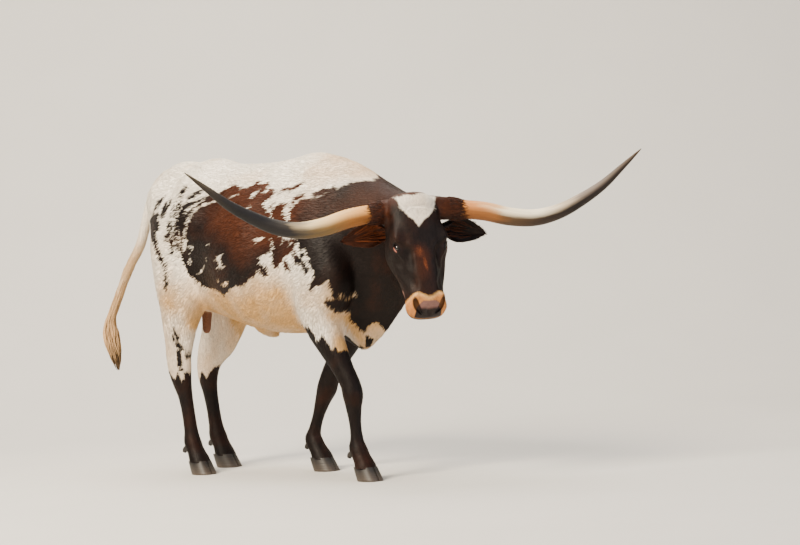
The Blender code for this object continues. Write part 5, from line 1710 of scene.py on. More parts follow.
def tuft_material():
    """Tips of the short coat: the hide's own colours, shaded as the hide is, a little lighter to the tip."""
    material, tree, shader = new_material("cattle coat tufts")
    look = coat_colour(tree)
    single = add_node(tree, "ShaderNodeTexWhiteNoise", None, {"Vector": look["root"]}).outputs["Value"]
    tip = remap(tree, read_mark(tree, "along"), 0.0, 1.0, 0.9, 1.08)
    shade = reckon(tree, "MULTIPLY", tip, remap(tree, single, 0.0, 1.0, 0.88, 1.12))
    # Facets of single tufts would glitter, so that each takes most of its normal from the skin under it
    facet = add_node(tree, "ShaderNodeNewGeometry").outputs["Normal"]
    skin = read_mark(tree, "skin_normal", "Vector")
    mostly_skin = add_node(tree, "ShaderNodeMix", {"data_type": "VECTOR"}, {0: 0.78, 4: facet, 5: skin})
    unit = add_node(tree, "ShaderNodeVectorMath", {"operation": "NORMALIZE"}, {0: mostly_skin.outputs[1]})
    looks = {
        "Base Color": blend(tree, 1.0, look["colour"], shade, "MULTIPLY"),
        "Roughness": remap(tree, look["dark"], 0.0, 1.0, 0.66, 0.5),
        "Normal": unit.outputs[0],
        "Specular IOR Level": 0.14,
    }
    feed(tree, shader, looks)
    return material


def hair_material(name, inner, outer, tip_light=1.25):
    """Long coarse hair: each lock dark at its root or core and sun-bleached towards the outside and tip."""
    material, tree, shader = new_material(name)
    place = add_node(tree, "ShaderNodeTexCoord").outputs["Object"]
    # Strands about 1.5 mm wide within a lock
    strand = noise(tree, stretch(tree, place, (650, 650, 30)), 1.0, 2.0)
    mixed = blend(tree, read_mark(tree, "tone"), solid(inner), solid(outer))
    streak = remap(tree, strand, 0.3, 0.7, 0.62, 1.25)
    tip = remap(tree, read_mark(tree, "along"), 0.2, 1.0, 0.85, tip_light)
    shade = reckon(tree, "MULTIPLY", streak, tip)
    looks = {
        "Base Color": blend(tree, 1.0, mixed, shade, "MULTIPLY"),
        "Roughness": 0.55,
        "Normal": emboss(tree, strand, 0.0008, 0.6),
        "Specular IOR Level": 0.16,
    }
    feed(tree, shader, looks)
    return material


def colour_ramp(tree, place, stops):
    """The colours of stops along a share from 0 to 1."""
    ramp = add_node(tree, "ShaderNodeValToRGB", None, {0: place})
    points = ramp.color_ramp.elements
    while len(points) < len(stops):
        points.new(0.5)
    for point, (position, colour) in zip(points, stops):
        point.position = position
        point.color = (*linear(colour), 1)
    return ramp.outputs[0]


def horn_material(name, upper, under):
    """Worn cattle horn: tan at the root, ivory, then slate grey, streaked along its length, rather dull,
    with painted shade on its underside.
    """
    material, tree, shader = new_material(name)
    grain = read_mark(tree, "grain", "Vector")
    # Fibres of the horn 1.5 mm wide and some 60 mm long, and blotches of 40 mm
    fibre = noise(tree, grain, 1.0, 4.0)
    blotch = noise(tree, stretch(tree, grain, (0.1, 0.1, 0.7)), 1.0, 3.0)
    place = reckon(tree, "ADD", read_mark(tree, "along"), remap(tree, blotch, 0.25, 0.75, -0.03, 0.03))
    # Painted shade: where the horn faces down it takes the darker colours of its underside
    low = reckon(tree, "ADD", read_mark(tree, "below"), remap(tree, fibre, 0.3, 0.7, -0.1, 0.1))
    underside_shade = remap(tree, low, -0.45, 0.12, 0.0, 1.0)
    base = blend(tree, underside_shade, colour_ramp(tree, place, upper), colour_ramp(tree, place, under))
    fibres = emboss(tree, fibre, 0.0008, 0.4)
    looks = {
        "Base Color": blend(tree, 1.0, base, remap(tree, fibre, 0.3, 0.7, 0.82, 1.14), "MULTIPLY"),
        "Roughness": remap(tree, fibre, 0.3, 0.7, 0.62, 0.46),
        "Normal": emboss(tree, blotch, 0.003, 0.3, fibres),
        "Specular IOR Level": 0.2,
    }
    feed(tree, shader, looks)
    return material


def hoof_material():
    """Hoof horn: near black, dull, with growth rings 4 mm apart that run round it, and dusty below."""
    material, tree, shader = new_material("hoof horn")
    colours = settings()
    place = add_node(tree, "ShaderNodeTexCoord").outputs["Object"]
    rings = noise(tree, stretch(tree, place, (8, 8, 240)), 1.0, 2.0)
    height = add_node(tree, "ShaderNodeSeparateXYZ", None, {0: place}).outputs["Z"]
    dusty = reckon(tree, "MULTIPLY", remap(tree, height, 0.0, 0.05, 1.0, 0.0), rings)
    looks = {
        "Base Color": blend(tree, dusty, solid(colours.hoof_dark), solid(colours.hoof_worn)),
        "Roughness": 0.5,
        "Normal": emboss(tree, rings, 0.0012, 0.6),
    }
    feed(tree, shader, looks)
    return material


def eye_material():
    """Wet dark brown eye: a long level pupil, a brown iris and a darker rim under a shining cornea."""
    material, tree, shader = new_material("wet cattle eye")
    iris = colour_ramp(tree, read_mark(tree, "ring"), IRIS)
    hole = remap(tree, read_mark(tree, "pupil"), 0.9, 1.1, 1.0, 0.0)
    looks = {
        "Base Color": blend(tree, hole, iris, solid(PUPIL_COLOUR)),
        "Roughness": 0.12,
        "Coat Weight": 0.7,
        "Coat Roughness": 0.03,
    }
    feed(tree, shader, looks)
    return material


def studio_material():
    """Pale matt studio paper: warm grey, even, with a very faint mottle."""
    material, tree, shader = new_material("pale studio paper")
    place = add_node(tree, "ShaderNodeTexCoord").outputs["Object"]
    first, second = (solid(linear(colour)) for colour in PAPER_COLOURS)
    paper = blend(tree, noise(tree, place, 2.0, 3.0), first, second)
    feed(tree, shader, {"Base Color": paper, "Roughness": 0.9})
    # Seen from behind, the backdrop lets the view and the back light through
    output = next(node for node in tree.nodes if node.bl_idname == "ShaderNodeOutputMaterial")
    behind = add_node(tree, "ShaderNodeNewGeometry").outputs["Backfacing"]
    clear = add_node(tree, "ShaderNodeBsdfTransparent").outputs[0]
    one_sided = add_node(tree, "ShaderNodeMixShader", None, {0: behind, 1: shader.outputs[0], 2: clear})
    feed(tree, output, {"Surface": one_sided.outputs[0]})
    return material


def tuft_shape():
    """One tuft as a thin, bent, pointed blade of ten triangles: x along the lie, z out from the hide."""
    bm = bmesh.new()
    along = bm.verts.layers.float.new("along")
    patch = bm.verts.layers.float_vector.new("patch")
    rings = []
    for x, z, wide, thick, share in ((-0.04, -0.3, 0.4, 0.3, 0.0), (0.5, 0.6, 0.5, 0.24, 0.5)):
        ring = []
        for y, up in ((-wide, 0), (0, thick), (wide, 0)):
            vert = bm.verts.new((x, y, z + up))
            vert[along] = share
            vert[patch] = (share, 0.5 + 0.5 * y, 0)
            ring.append(vert)
        rings.append(ring)
    tip = bm.verts.new((1.0, 0.0, 0.7))
    tip[along] = 1.0
    tip[patch] = (1.0, 0.5, 0)
    for i in range(3):
        j = (i + 1) % 3
        bm.faces.new((rings[0][i], rings[0][j], rings[1][j], rings[1][i]))
        bm.faces.new((rings[1][i], rings[1][j], tip))
    bm.faces.new(rings[0][::-1])
    bmesh.ops.recalc_face_normals(bm, faces=bm.faces)
    return new_object("tuft", bm)


def node_group(name, inputs):
    """A Geometry Nodes tree with named inputs and one geometry as its output, and its inputs' sockets."""
    tree = bpy.data.node_groups.new(name, "GeometryNodeTree")
    for label, kind in inputs:
        tree.interface.new_socket(label, in_out="INPUT", socket_type="NodeSocket" + kind)
    tree.interface.new_socket("Geometry", in_out="OUTPUT", socket_type="NodeSocketGeometry")
    return tree, add_node(tree, "NodeGroupInput").outputs


def named(tree, name, kind="FLOAT_VECTOR"):
    """What the geometry carries under a name."""
    found = add_node(tree, "GeometryNodeInputNamedAttribute", {"data_type": kind}, {"Name": name})
    return found.outputs["Attribute"]


def keep_as(tree, geometry, name, value, kind="FLOAT_VECTOR", domain="POINT"):
    """The geometry with a value kept on it under a name."""
    options = {"data_type": kind, "domain": domain}
    sockets = {"Geometry": geometry, "Name": name, "Value": value}
    return add_node(tree, "GeometryNodeStoreNamedAttribute", options, sockets).outputs[0]


def close_group(tree, geometry, material):
    """Gives the geometry its material and ends the tree with it."""
    sockets = {"Geometry": geometry, "Material": material}
    finished = add_node(tree, "GeometryNodeSetMaterial", None, sockets)
    add_node(tree, "NodeGroupOutput", None, {0: finished.outputs[0]})
    return tree


def tuft_tree():
    """Geometry Nodes that set tufts on a hide along its hair's lie, each in its own place on the unwrap."""
    inputs = (
        ("Geometry", "Geometry"),
        ("Region", "String"),
        ("Tufts per square metre", "Float"),
        ("Length", "Float"),
        ("Width", "Float"),
        ("Rise", "Float"),
        ("Spread", "Float"),
        ("Patch", "Float"),
        ("Seed", "Int"),
        ("Tuft", "Object"),
        ("Material", "Material"),
    )
    tree, given = node_group("coat of tufts", inputs)
    region = named(tree, given["Region"], "FLOAT")
    density = reckon(tree, "MULTIPLY", region, given["Tufts per square metre"])
    spread_out = {"Mesh": given["Geometry"], "Density": density, "Seed": given["Seed"]}
    points = add_node(tree, "GeometryNodeDistributePointsOnFaces", None, spread_out).outputs
    marked = keep_as(tree, points["Points"], "place", named(tree, "OFBake"))
    marked = keep_as(tree, marked, "root", add_node(tree, "GeometryNodeInputPosition").outputs[0])
    marked = keep_as(tree, marked, "skin_normal", points["Normal"])
    bare = add_node(tree, "GeometryNodeRemoveAttribute", None, {"Geometry": marked, "Name": "OFBake"})
    # Each tuft stands on the skin, is turned along the lie and then a little aside
    axes = {"Primary Axis": points["Normal"], "Secondary Axis": named(tree, "lie")}
    stand = add_node(tree, "FunctionNodeAxesToRotation", None, axes)
    aside = {2: reckon(tree, "MULTIPLY", given["Spread"], -1.0), 3: given["Spread"], "Seed": given["Seed"]}
    turn = add_node(tree, "FunctionNodeRandomValue", None, aside)
    euler = add_node(tree, "ShaderNodeCombineXYZ", None, {"Z": turn.outputs[1]})
    spin = add_node(tree, "FunctionNodeEulerToRotation", None, {0: euler.outputs[0]})
    turns = {0: stand.outputs[0], 1: spin.outputs[0]}
    turned = add_node(tree, "FunctionNodeRotateRotation", {"rotation_space": "LOCAL"}, turns)
    sizes = []
    for name, low, high in (("Length", 0.65, 1.25), ("Width", 0.75, 1.3), ("Rise", 0.45, 1.3)):
        seed = reckon(tree, "ADD", given["Seed"], float(len(sizes) * 7 + 3))
        vary = add_node(tree, "FunctionNodeRandomValue", None, {2: low, 3: high, "Seed": seed})
        sizes.append(reckon(tree, "MULTIPLY", given[name], vary.outputs[1]))
    scale = add_node(tree, "ShaderNodeCombineXYZ", None, dict(zip("XYZ", sizes)))
    tuft = add_node(tree, "GeometryNodeObjectInfo", None, {"Object": given["Tuft"]})
    sockets = {
        "Points": bare.outputs[0],
        "Instance": tuft.outputs["Geometry"],
        "Rotation": turned.outputs[0],
        "Scale": scale.outputs[0],
    }
    placed = add_node(tree, "GeometryNodeInstanceOnPoints", None, sockets)
    real = add_node(tree, "GeometryNodeRealizeInstances", None, {"Geometry": placed.outputs[0]})
    # Its patch lies at its root's place on the unwrap
    shrink = {0: named(tree, "patch"), "Scale": given["Patch"]}
    small = add_node(tree, "ShaderNodeVectorMath", {"operation": "SCALE"}, shrink)
    shift = {0: named(tree, "place"), 1: small.outputs[0]}
    total = add_node(tree, "ShaderNodeVectorMath", {"operation": "ADD"}, shift)
    unwrapped = keep_as(tree, real.outputs[0], "OFBake", total.outputs[0], "FLOAT2", "CORNER")
    return close_group(tree, unwrapped, given["Material"])


def lock_tree():
    """Geometry Nodes that sweep guide lines into flat tapered locks of hair."""
    inputs = (
        ("Geometry", "Geometry"),
        ("Width", "Float"),
        ("Flatness", "Float"),
        ("Sides", "Int"),
        ("Material", "Material"),
    )
    tree, given = node_group("locks along guides", inputs)
    round_ring = {"Resolution": given["Sides"], "Radius": 1.0}
    ring = add_node(tree, "GeometryNodeCurvePrimitiveCircle", None, round_ring)
    flat = add_node(tree, "ShaderNodeCombineXYZ", None, {"X": given["Flatness"], "Y": 1.0, "Z": 1.0})
    flattened = {"Geometry": ring.outputs[0], "Scale": flat.outputs[0]}
    oval = add_node(tree, "GeometryNodeTransform", None, flattened)
    radius = add_node(tree, "GeometryNodeInputRadius").outputs[0]
    sweep = {
        "Curve": given["Geometry"],
        "Profile Curve": oval.outputs[0],
        "Scale": reckon(tree, "MULTIPLY", radius, given["Width"]),
        "Fill Caps": True,
    }
    swept = add_node(tree, "GeometryNodeCurveToMesh", None, sweep)
    real = add_node(tree, "GeometryNodeRealizeInstances", None, {"Geometry": swept.outputs[0]})
    return close_group(tree, real.outputs[0], given["Material"])


def run_tree(obj, tree, values, name):
    """The result of a tree on an object, with its inputs given by name, as a plain mesh object."""
    sockets = {item.name: item.identifier for item in tree.interface.items_tree if item.in_out == "INPUT"}
    modifier = obj.modifiers.new("nodes", "NODES")
    modifier.node_group = tree
    for key, value in values.items():
        modifier[sockets[key]] = value
    graph = bpy.context.evaluated_depsgraph_get()
    mesh = bpy.data.meshes.new_from_object(obj.evaluated_get(graph), depsgraph=graph)
    obj.modifiers.remove(modifier)
    return link_object(name, mesh)


def guides(name, lines):
    """Guide lines as one curve object. Each point is x, y, z, radius; each line has its tone from 0 to 1."""
    curve = bpy.data.curves.new(name, "CURVE")
    curve.dimensions = "3D"
    for line, _ in lines:
        spline = curve.splines.new("POLY")
        spline.points.add(len(line) - 1)
        spline.points.foreach_set("co", [c for x, y, z, _ in line for c in (x, y, z, 1)])
        spline.points.foreach_set("radius", [r for _, _, _, r in line])
    return link_object(name, curve)


def guide_point(spot, radius):
    """A point of a guide line, moved from the animal's own middle to its place in the frame."""
    return (*(spot + Vector(TO_ORIGIN)), radius)


def sweep_locks(name, lines, sides, flatness, material):
    """Locks along guide lines as one mesh, with each point's share of the length and each lock's tone."""
    holder = guides(name + " guides", lines)
    values = {"Width": 1.0, "Flatness": flatness, "Sides": sides, "Material": material}
    made = run_tree(holder, lock_tree(), values, name)
    bpy.data.objects.remove(holder)
    along, tone = [], []
    for line, own in lines:
        for i in range(len(line)):
            along += [i / (len(line) - 1)] * sides
            tone += [own] * sides
    count = len(made.data.vertices)
    if len(along) != count:
        raise RuntimeError(f"{name} has {count} points where its guides give {len(along)}")
    store(made.data, "along", np.array(along, np.float32))
    store(made.data, "tone", np.array(tone, np.float32))
    return made


def settle(obj):
    """Moves a finished shape from the animal's own middle to its place in the frame."""
    obj.data.transform(Matrix.Translation(TO_ORIGIN))
    obj.data.update()
    return obj


def unwrap(obj):
    """An unwrap of the object's own shape as the map OFBake."""
    while obj.data.uv_layers:
        obj.data.uv_layers.remove(obj.data.uv_layers[0])
    obj.data.uv_layers.new(name="OFBake")
    bpy.context.view_layer.objects.active = obj
    for other in bpy.context.selected_objects:
        other.select_set(False)
    obj.select_set(True)
    bpy.ops.object.mode_set(mode="EDIT")
    bpy.ops.mesh.select_all(action="SELECT")
    bpy.ops.uv.smart_project(angle_limit=math.radians(66), island_margin=0.001)
    bpy.ops.object.mode_set(mode="OBJECT")
    return obj


def cover(obj, material):
    obj.data.materials.clear()
    obj.data.materials.append(material)
    return obj


def finish_piece(obj, nodes=(), material=None, unwrapped=False):
    """Shades, unwraps and covers a piece, sets it on the body and hides the solids it stands for."""
    shade_smooth(obj)
    if not unwrapped:
        unwrap(obj)
    if material is not None:
        cover(obj, material)
    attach(obj, BODY)
    if nodes:
        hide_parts(*nodes)
    return obj


def build_hide():
    """The skin with its markings, in place and unwrapped, and what its coat needs to know."""
    hide, sources = fused_hide()
    skin = read_skin(hide.data, sources)
    mark_hide(skin)
    plan_coat(skin)
    settle(hide)
    return finish_piece(hide, HIDE_NODES, hide_material())


def plan_coat(skin):
    """Writes onto the skin where each coat grows, from 0 to 1."""
    mesh = skin.mesh
    x, y, z = skin.points.T
    u, _, w = skin.head.T
    bare = smooth_step(-0.004, 0.002, np.maximum(fetch(mesh, "bare"), OUTSIDE))
    open_hide = 1 - np.clip(np.maximum(bare, fetch(mesh, "nostril_shade")), 0, 1)
    eyes = np.zeros(len(x))
    for side in (LEFT, RIGHT):
        far = np.linalg.norm(skin.head - mirrored(EYE, side), axis=1)
        eyes = np.maximum(eyes, smooth_step(0.031, 0.025, far))
    body = skin.part == TRUNK_PART
    low_leg = np.maximum.reduce(list(skin.legs.values())) * smooth_step(0.7, 0.6, z)
    above_hoof = body * low_leg * smooth_step(0.06, 0.075, z)
    trunk_share = body * (1 - low_leg) * (z > 0.09)
    ahead = smooth_step(0.57, 0.63, x)
    right = smooth_step(0.01, -0.01, y + 0.1 * smooth_step(0.6, 0.8, x))
    face = (skin.part == HEAD_PART) * open_hide * (1 - eyes) * smooth_step(-0.01, 0.05, u)
    plans = {
        "trunk_right": trunk_share * (1 - ahead) * right,
        "trunk_left": trunk_share * (1 - ahead) * (1 - right),
        "neck": trunk_share * ahead,
        "forelegs": above_hoof * (x > 0),
        "hindlegs": above_hoof * (x <= 0),
        "face": face * (1 - 0.8 * (w < MOUTH_LINE)),
        "poll": (skin.part == HEAD_PART) * smooth_step(0.075, 0.03, u) * smooth_step(-0.16, -0.12, w),
        "edges": np.isin(skin.part, (LEFT_EAR_PART, RIGHT_EAR_PART, TAIL_PART, SHEATH_PART)).astype(float),
    }
    for name, values in plans.items():
        store(mesh, "coat_" + name, np.clip(values, 0, 1))


def read_all(items, field, kind=float):
    """One number of each item of a mesh."""
    values = np.empty(len(items), kind)
    items.foreach_get(field, values)
    return values


def weighted_area(mesh, name):
    """The hide's area in square metres, each face counted by an attribute."""
    corners = read_all(mesh.loops, "vertex_index", int)
    starts = read_all(mesh.polygons, "loop_start", int)
    totals = read_all(mesh.polygons, "loop_total", int)
    means = np.add.reduceat(fetch(mesh, name)[corners], starts) / totals
    return float((means * read_all(mesh.polygons, "area")).sum())


def build_coat():
    """Coats of tufts that break the skin's outline, one object for each region."""
    hide = bpy.data.objects["hide"]
    sizes = settings()
    tuft = tuft_shape()
    tree = tuft_tree()
    material = tuft_material()
    for seed, (name, (share, length, width, rise, spread)) in enumerate(COATS.items()):
        area = weighted_area(hide.data, "coat_" + name)
        values = {
            "Region": "coat_" + name,
            "Tufts per square metre": share * sizes.tufts / area,
            "Length": sizes.tuft_length * length,
            "Width": sizes.tuft_width * width,
            "Rise": sizes.tuft_rise * rise,
            "Spread": spread,
            "Patch": TUFT_PATCH,
            "Seed": seed + COAT_SEED,
            "Tuft": tuft,
            "Material": material,
        }
        coat = run_tree(hide, tree, values, "coat_of_" + name)
        carry_marks(coat)
        finish_piece(coat, (), material, True)
    bpy.data.objects.remove(tuft)
    for name in COATS:
        hide.data.attributes.remove(hide.data.attributes["coat_" + name])


def carry_marks(coat):
    """Leaves on a coat only what its material reads."""
    kept = {*MARKS, "root", "along", "OFBake", "head_share", "skin_normal", "sharp_face"}
    for name in [attribute.name for attribute in coat.data.attributes]:
        found = coat.data.attributes[name]
        if not (name in kept or found.is_required or found.is_internal):
            coat.data.attributes.remove(found)


def horn_rows(side, count):
    """Points along a horn with its radius and share of the length."""
    table = resample(HORN_PATH, count)
    spans = np.linalg.norm(np.diff(table[:, :3], axis=0), axis=1)
    run = np.concatenate(([0], np.cumsum(spans)))
    rows = []
    for (forward, out, rise), along in zip(table[:, :3], run):
        share = along / run[-1]
        root = 0.92 + 0.08 * min(share / 0.25, 1)
        radius = (HORN_RADIUS - 0.0008) * root * max(1 - share**2.05, 0) ** 0.85 + 0.0014
        # Low uneven rings near the root, that fade out along the horn
        near = math.exp(-(((share - 0.16) / 0.1) ** 2))
        radius += 0.0007 * near * math.sin(along * 420 + 1.3 * math.sin(along * 57 + side))
        rows.append((*horn_place(forward, side * out, rise), radius, share, along))
    return rows


def build_horns():
    """Both horns, fine and slightly ringed at their roots, with their own colours."""
    around, count = 48, 170
    for name, side, (upper, under) in (("right", RIGHT, RIGHT_HORN), ("left", LEFT, LEFT_HORN)):
        rows = horn_rows(side, count)
        horn = tube("horn_of_" + name, [row[:4] for row in rows], around, count)
        mesh = horn.data
        # The two caps' middle points come after the rings
        share = np.append(np.repeat([row[4] for row in rows], around), (0, 1))
        run = np.repeat([row[5] for row in rows], around)
        run = np.append(run, (0, run[-1]))
        turn = np.append(np.tile(2 * np.pi * np.arange(around) / around, count), (0, 0))
        store(mesh, "along", share)
        # How far the horn faces down, which the horn's material turns into painted shade
        store(mesh, "below", np.clip(-read_points(mesh, "normal")[:, 2], -1, 1))
        store(mesh, "grain", np.stack((26 * np.cos(turn), 26 * np.sin(turn), run * 16 + side), axis=1))
        settle(horn)
        finish_piece(horn, ("horn_" + name,), horn_material("worn horn " + name, upper, under))


def lash_lines(rng, side, eye_frame):
    """The lashes of one upper lid, by way of the move from the eye's own axes to its place."""
    lines = []
    for k in range(LASHES):
        share = k / (LASHES - 1)
        angle = math.radians(22 + 136 * share)
        x = 0.0165 * math.cos(angle)
        y = -side * (0.0014 + 0.007 * math.sin(angle) ** 1.35)
        start = Vector((x, y, 0.0198))
        out = Vector((0.25 * x / 0.018, -side * 0.3, 0.9 + 0.2 * rng.random())).normalized()
        length = 0.008 + 0.004 * math.sin(math.pi * share) + 0.002 * rng.random()
        line = []
        for i in range(6):
            t = i / 5
            drop = Vector((0.1 * x, side * 0.75 * t * t, 0)) * length
            line.append(guide_point(eye_frame(start + out * (length * t) + drop), 0.0005 * (1 - 0.85 * t)))
        lines.append((line, 0.2))
    return lines


def build_eyes():
    """Both eyes, with a long level pupil, and their lashes."""
    material = eye_material()
    frame_of_head = head_frame()
    lines = []
    rng = np.random.default_rng(LASH_SEED)
    for name, side in (("left", LEFT), ("right", RIGHT)):
        turn = gaze(side)
        centre = Vector(mirrored(EYE, side))
        eye = ball("eye_of_" + name, (0, 0, 0), (EYE_RADIUS,) * 3, None, 56, 40)
        points = read_points(eye.data)
        x, y, z = (points / EYE_RADIUS).T
        tilt = math.radians(-8 * side)
        level = x * math.cos(tilt) + y * math.sin(tilt)
        rise = y * math.cos(tilt) - x * math.sin(tilt)
        store(eye.data, "ring", np.where(z > 0, np.clip(np.hypot(x, y) / 0.92, 0, 1), 1.0))
        store(eye.data, "pupil", np.where(z > 0, np.hypot(level / 0.46, rise / 0.22), FAR_AWAY))
        bulge = 1 + 0.045 * smooth_step(0.8, 0.96, z)
        write_points(eye.data, points * bulge[:, None])
        eye.data.transform(frame_of_head @ Matrix.Translation(centre) @ turn)
        settle(eye)
        finish_piece(eye, ("eye_" + name,), material)
        lines += lash_lines(rng, side, lambda spot: frame_of_head @ (centre + turn @ spot))
    lash = hair_material("eyelashes", linear("#120c09"), linear("#2a1a12"), 1.0)
    finish_piece(sweep_locks("eyelashes", lines, 5, 1.0, lash))


def boss_lines(rng, side):
    """Ragged hairs that run from the end of a boss out over the root of its horn."""
    axis = resample(HORN_PATH, 60)
    boss_outs = [row[1] for row in BOSS_PATH]
    boss_radii = [row[3] for row in BOSS_PATH]
    lines = []
    for i in range(BOSS_LOCKS):
        turn = 2 * math.pi * (i + rng.uniform(-0.4, 0.4)) / BOSS_LOCKS
        low = 0.5 - 0.5 * math.sin(turn)
        first = 0.14 + 0.05 * rng.random()
        length = 0.022 + 0.022 * rng.random() ** 2 + 0.022 * low * rng.random()
        bend = rng.uniform(-0.4, 0.4)
        lift = 0.0016 + 0.0028 * rng.random()
        line = []
        for k in range(8):
            t = k / 7
            out = first + length * t
            forward = np.interp(out, axis[:, 1], axis[:, 0])
            rise = np.interp(out, axis[:, 1], axis[:, 2])
            on_boss = np.interp(out, boss_outs, boss_radii) * (out < 0.198)
            reach = max(on_boss, 0.0405) + lift * math.sin(math.pi * min(t + 0.15, 1))
            angle = turn + bend * t
            spot = horn_place(forward + reach * math.cos(angle), side * out, rise + reach * math.sin(angle))
            line.append(guide_point(spot, 0.0017 * (1 - 0.94 * t**1.6)))
        lines.append((line, rng.uniform(0.15, 0.95)))
    return lines


def ear_lines(rng, side):
    """Hairs that lie in the cup of an ear, from its base and front rim outwards."""
    lines = []
    for _ in range(EAR_LOCKS):
        first = 0.06 + 0.5 * rng.random()
        length = 0.16 + 0.14 * rng.random()
        turn = rng.uniform(-0.8, 0.8)
        tone = rng.uniform(0.45, 1.0)
        line = []
        for k in range(8):
            t = k / 7
            middle, radius, half_angle, reach_of = ear_station(side, first + length * t)
            lift = 0.006 + 0.012 * t * (1 - 0.4 * t)
            angle = half_angle * (turn * (1 - 0.15 * t))
            spot = middle + reach_of(angle) * (radius - lift)
            line.append(guide_point(spot, 0.0024 * (1 - 0.92 * t**1.5)))
        lines.append((line, tone))
    return lines


def build_fringes():
    """Long hairs at the bosses and in the ears."""
    rng = np.random.default_rng(FRINGE_SEED)
    colours = settings()
    dark = hair_material("boss hair", colours.switch_core, colours.poll_hair, 1.1)
    lines = boss_lines(rng, LEFT) + boss_lines(rng, RIGHT)
    finish_piece(sweep_locks("fringe_of_bosses", lines, 5, FRINGE_FLATNESS, dark))
    for name, side, outer in (("left", LEFT, colours.poll_hair), ("right", RIGHT, colours.rust_hair)):
        material = hair_material("ear hair " + name, colours.switch_core, outer, 1.1)
        hairs = sweep_locks("hair_in_ear_" + name, ear_lines(rng, side), 5, FRINGE_FLATNESS, material)
        finish_piece(hairs)


def fine_claw(name, turn, inner):
    """One half of a hoof with a rounded edge and growth rings, about the middle of its foot."""
    outline = []
    for k in range(27):
        angle = math.pi * k / 26
        outline.append((CLAW_LENGTH * math.cos(angle), CLAW_WIDTH * max(math.sin(angle), 0) ** 0.62))
    outline += [(CLAW_LENGTH * (-1 + 2 * k / 10), 0) for k in range(1, 10)]
    rings = []
    for i, (z, shift, grow) in enumerate(resample(CLAW_LEVELS, 34)):
        ripple = 1 + 0.006 * math.sin(z * 1450 + 2 * math.sin(z * 170)) * min(i / 4, 1)
        ring = []
        for reach, width in outline:
            toe_in = 1 - 0.1 * (reach / CLAW_LENGTH) ** 2 * (reach > 0)
            y = inner * (CLAW_GAP / 2 + width * grow * ripple * toe_in)
            spot = turn @ Vector((reach * grow * ripple + shift, y, 0))
            ring.append(Vector((spot.x, spot.y, z)))
        rings.append(ring)
    return skin_rings(name, rings)


def middle_of(low, high):
    return (Vector(low) + Vector(high)) / 2


def build_feet():
    """Claws and dewclaws of the four feet."""
    material = hoof_material()
    for name, (_, side) in LEGS.items():
        turn = Matrix.Rotation(math.radians(side * TOES_OUT), 4, "Z")
        limb = name.replace("leg", "claw")
        spur = name.replace("leg", "dewclaw")
        halves = ((side, "outer"), (-side, "inner"))
        bases = []
        for inner, place in halves:
            claw = fine_claw(limb + "_of_" + place, turn, inner)
            points = read_points(claw.data)
            low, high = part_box(limb + "_" + place)
            move = middle_of(low, high) - middle_of(points.min(axis=0), points.max(axis=0))
            move.z = 0
            bases.append(move)
            claw.data.transform(Matrix.Translation(move))
            soft_edges(claw)
            finish_piece(claw, (limb + "_" + place,), material)
        centre = (bases[0] + bases[1]) / 2 - Vector((0.026, 0, 0))
        for inner, place in halves:
            dew = Vector((centre.x - 0.068, centre.y + inner * 0.021, 0.116))
            root = dew + Vector((0.04, 0, 0.016))
            tip = dew + Vector((-0.008, inner * 0.003, -0.016))
            rows = [(*root, 0.014), (*dew, 0.0135), (*tip, 0.008)]
            piece = tube(spur + "_of_" + place, rows, 28, 20)
            finish_piece(piece, (spur + "_" + place,), material)


def soft_edges(obj):
    """Rounds the hard rims with a small bevel."""
    bevel = obj.modifiers.new("bevel", "BEVEL")
    bevel.width = 0.0012
    bevel.segments = 2
    bevel.limit_method = "ANGLE"
    bevel.angle_limit = math.radians(50)
    return apply_modifiers(obj)


def radial(along, turn):
    """The way out from a line that runs along a direction, at an angle round it."""
    side = along.cross(Vector((math.cos(turn), math.sin(turn), 0))).normalized()
    return side.cross(along).normalized()


def tail_lines(rng):
    """Lengthening hairs down the last third of the tail, which run into the switch."""
    rows = list(resample(TAIL_PATH, 80))
    for k in range(1, 8):
        middle, radius, _ = switch_at(k / 12)
        rows.append((*middle, radius * 0.8))
    rows = np.array(rows)
    run = np.concatenate(([0], np.cumsum(np.linalg.norm(np.diff(rows[:, :3], axis=0), axis=1))))
    end = run[79]
    lines = []
    for _ in range(TAIL_LOCKS):
        share = rng.random() ** 0.6
        first = end - 0.27 * (1 - share)
        length = 0.055 + 0.09 * share * rng.uniform(0.7, 1.2)
        turn = rng.uniform(0, 2 * math.pi)
        lift = 0.0015 + 0.0045 * share * rng.random()
        line = []
        for k in range(10):
            t = k / 9
            here = min(first + length * t, run[-1])
            x, y, z, radius = (np.interp(here, run, column) for column in rows.T)
            ahead = [np.interp(here + 0.01, run, column) for column in rows.T[:3]]
            along = Vector(ahead) - Vector((x, y, z))
            along = along.normalized() if along.length > 1e-6 else Vector((0, 0, -1))
            off = radius - 0.002 + lift * math.sin(math.pi * min(t + 0.1, 1) / 2)
            size = 0.0034 * min(0.5 + 2 * t, 1) * (1 - 0.93 * t**2)
            line.append(guide_point(Vector((x, y, z)) + radial(along, turn) * off, size))
        lines.append((line, min(0.8 + 0.3 * rng.random() - 0.15 * share, 1)))
    return lines


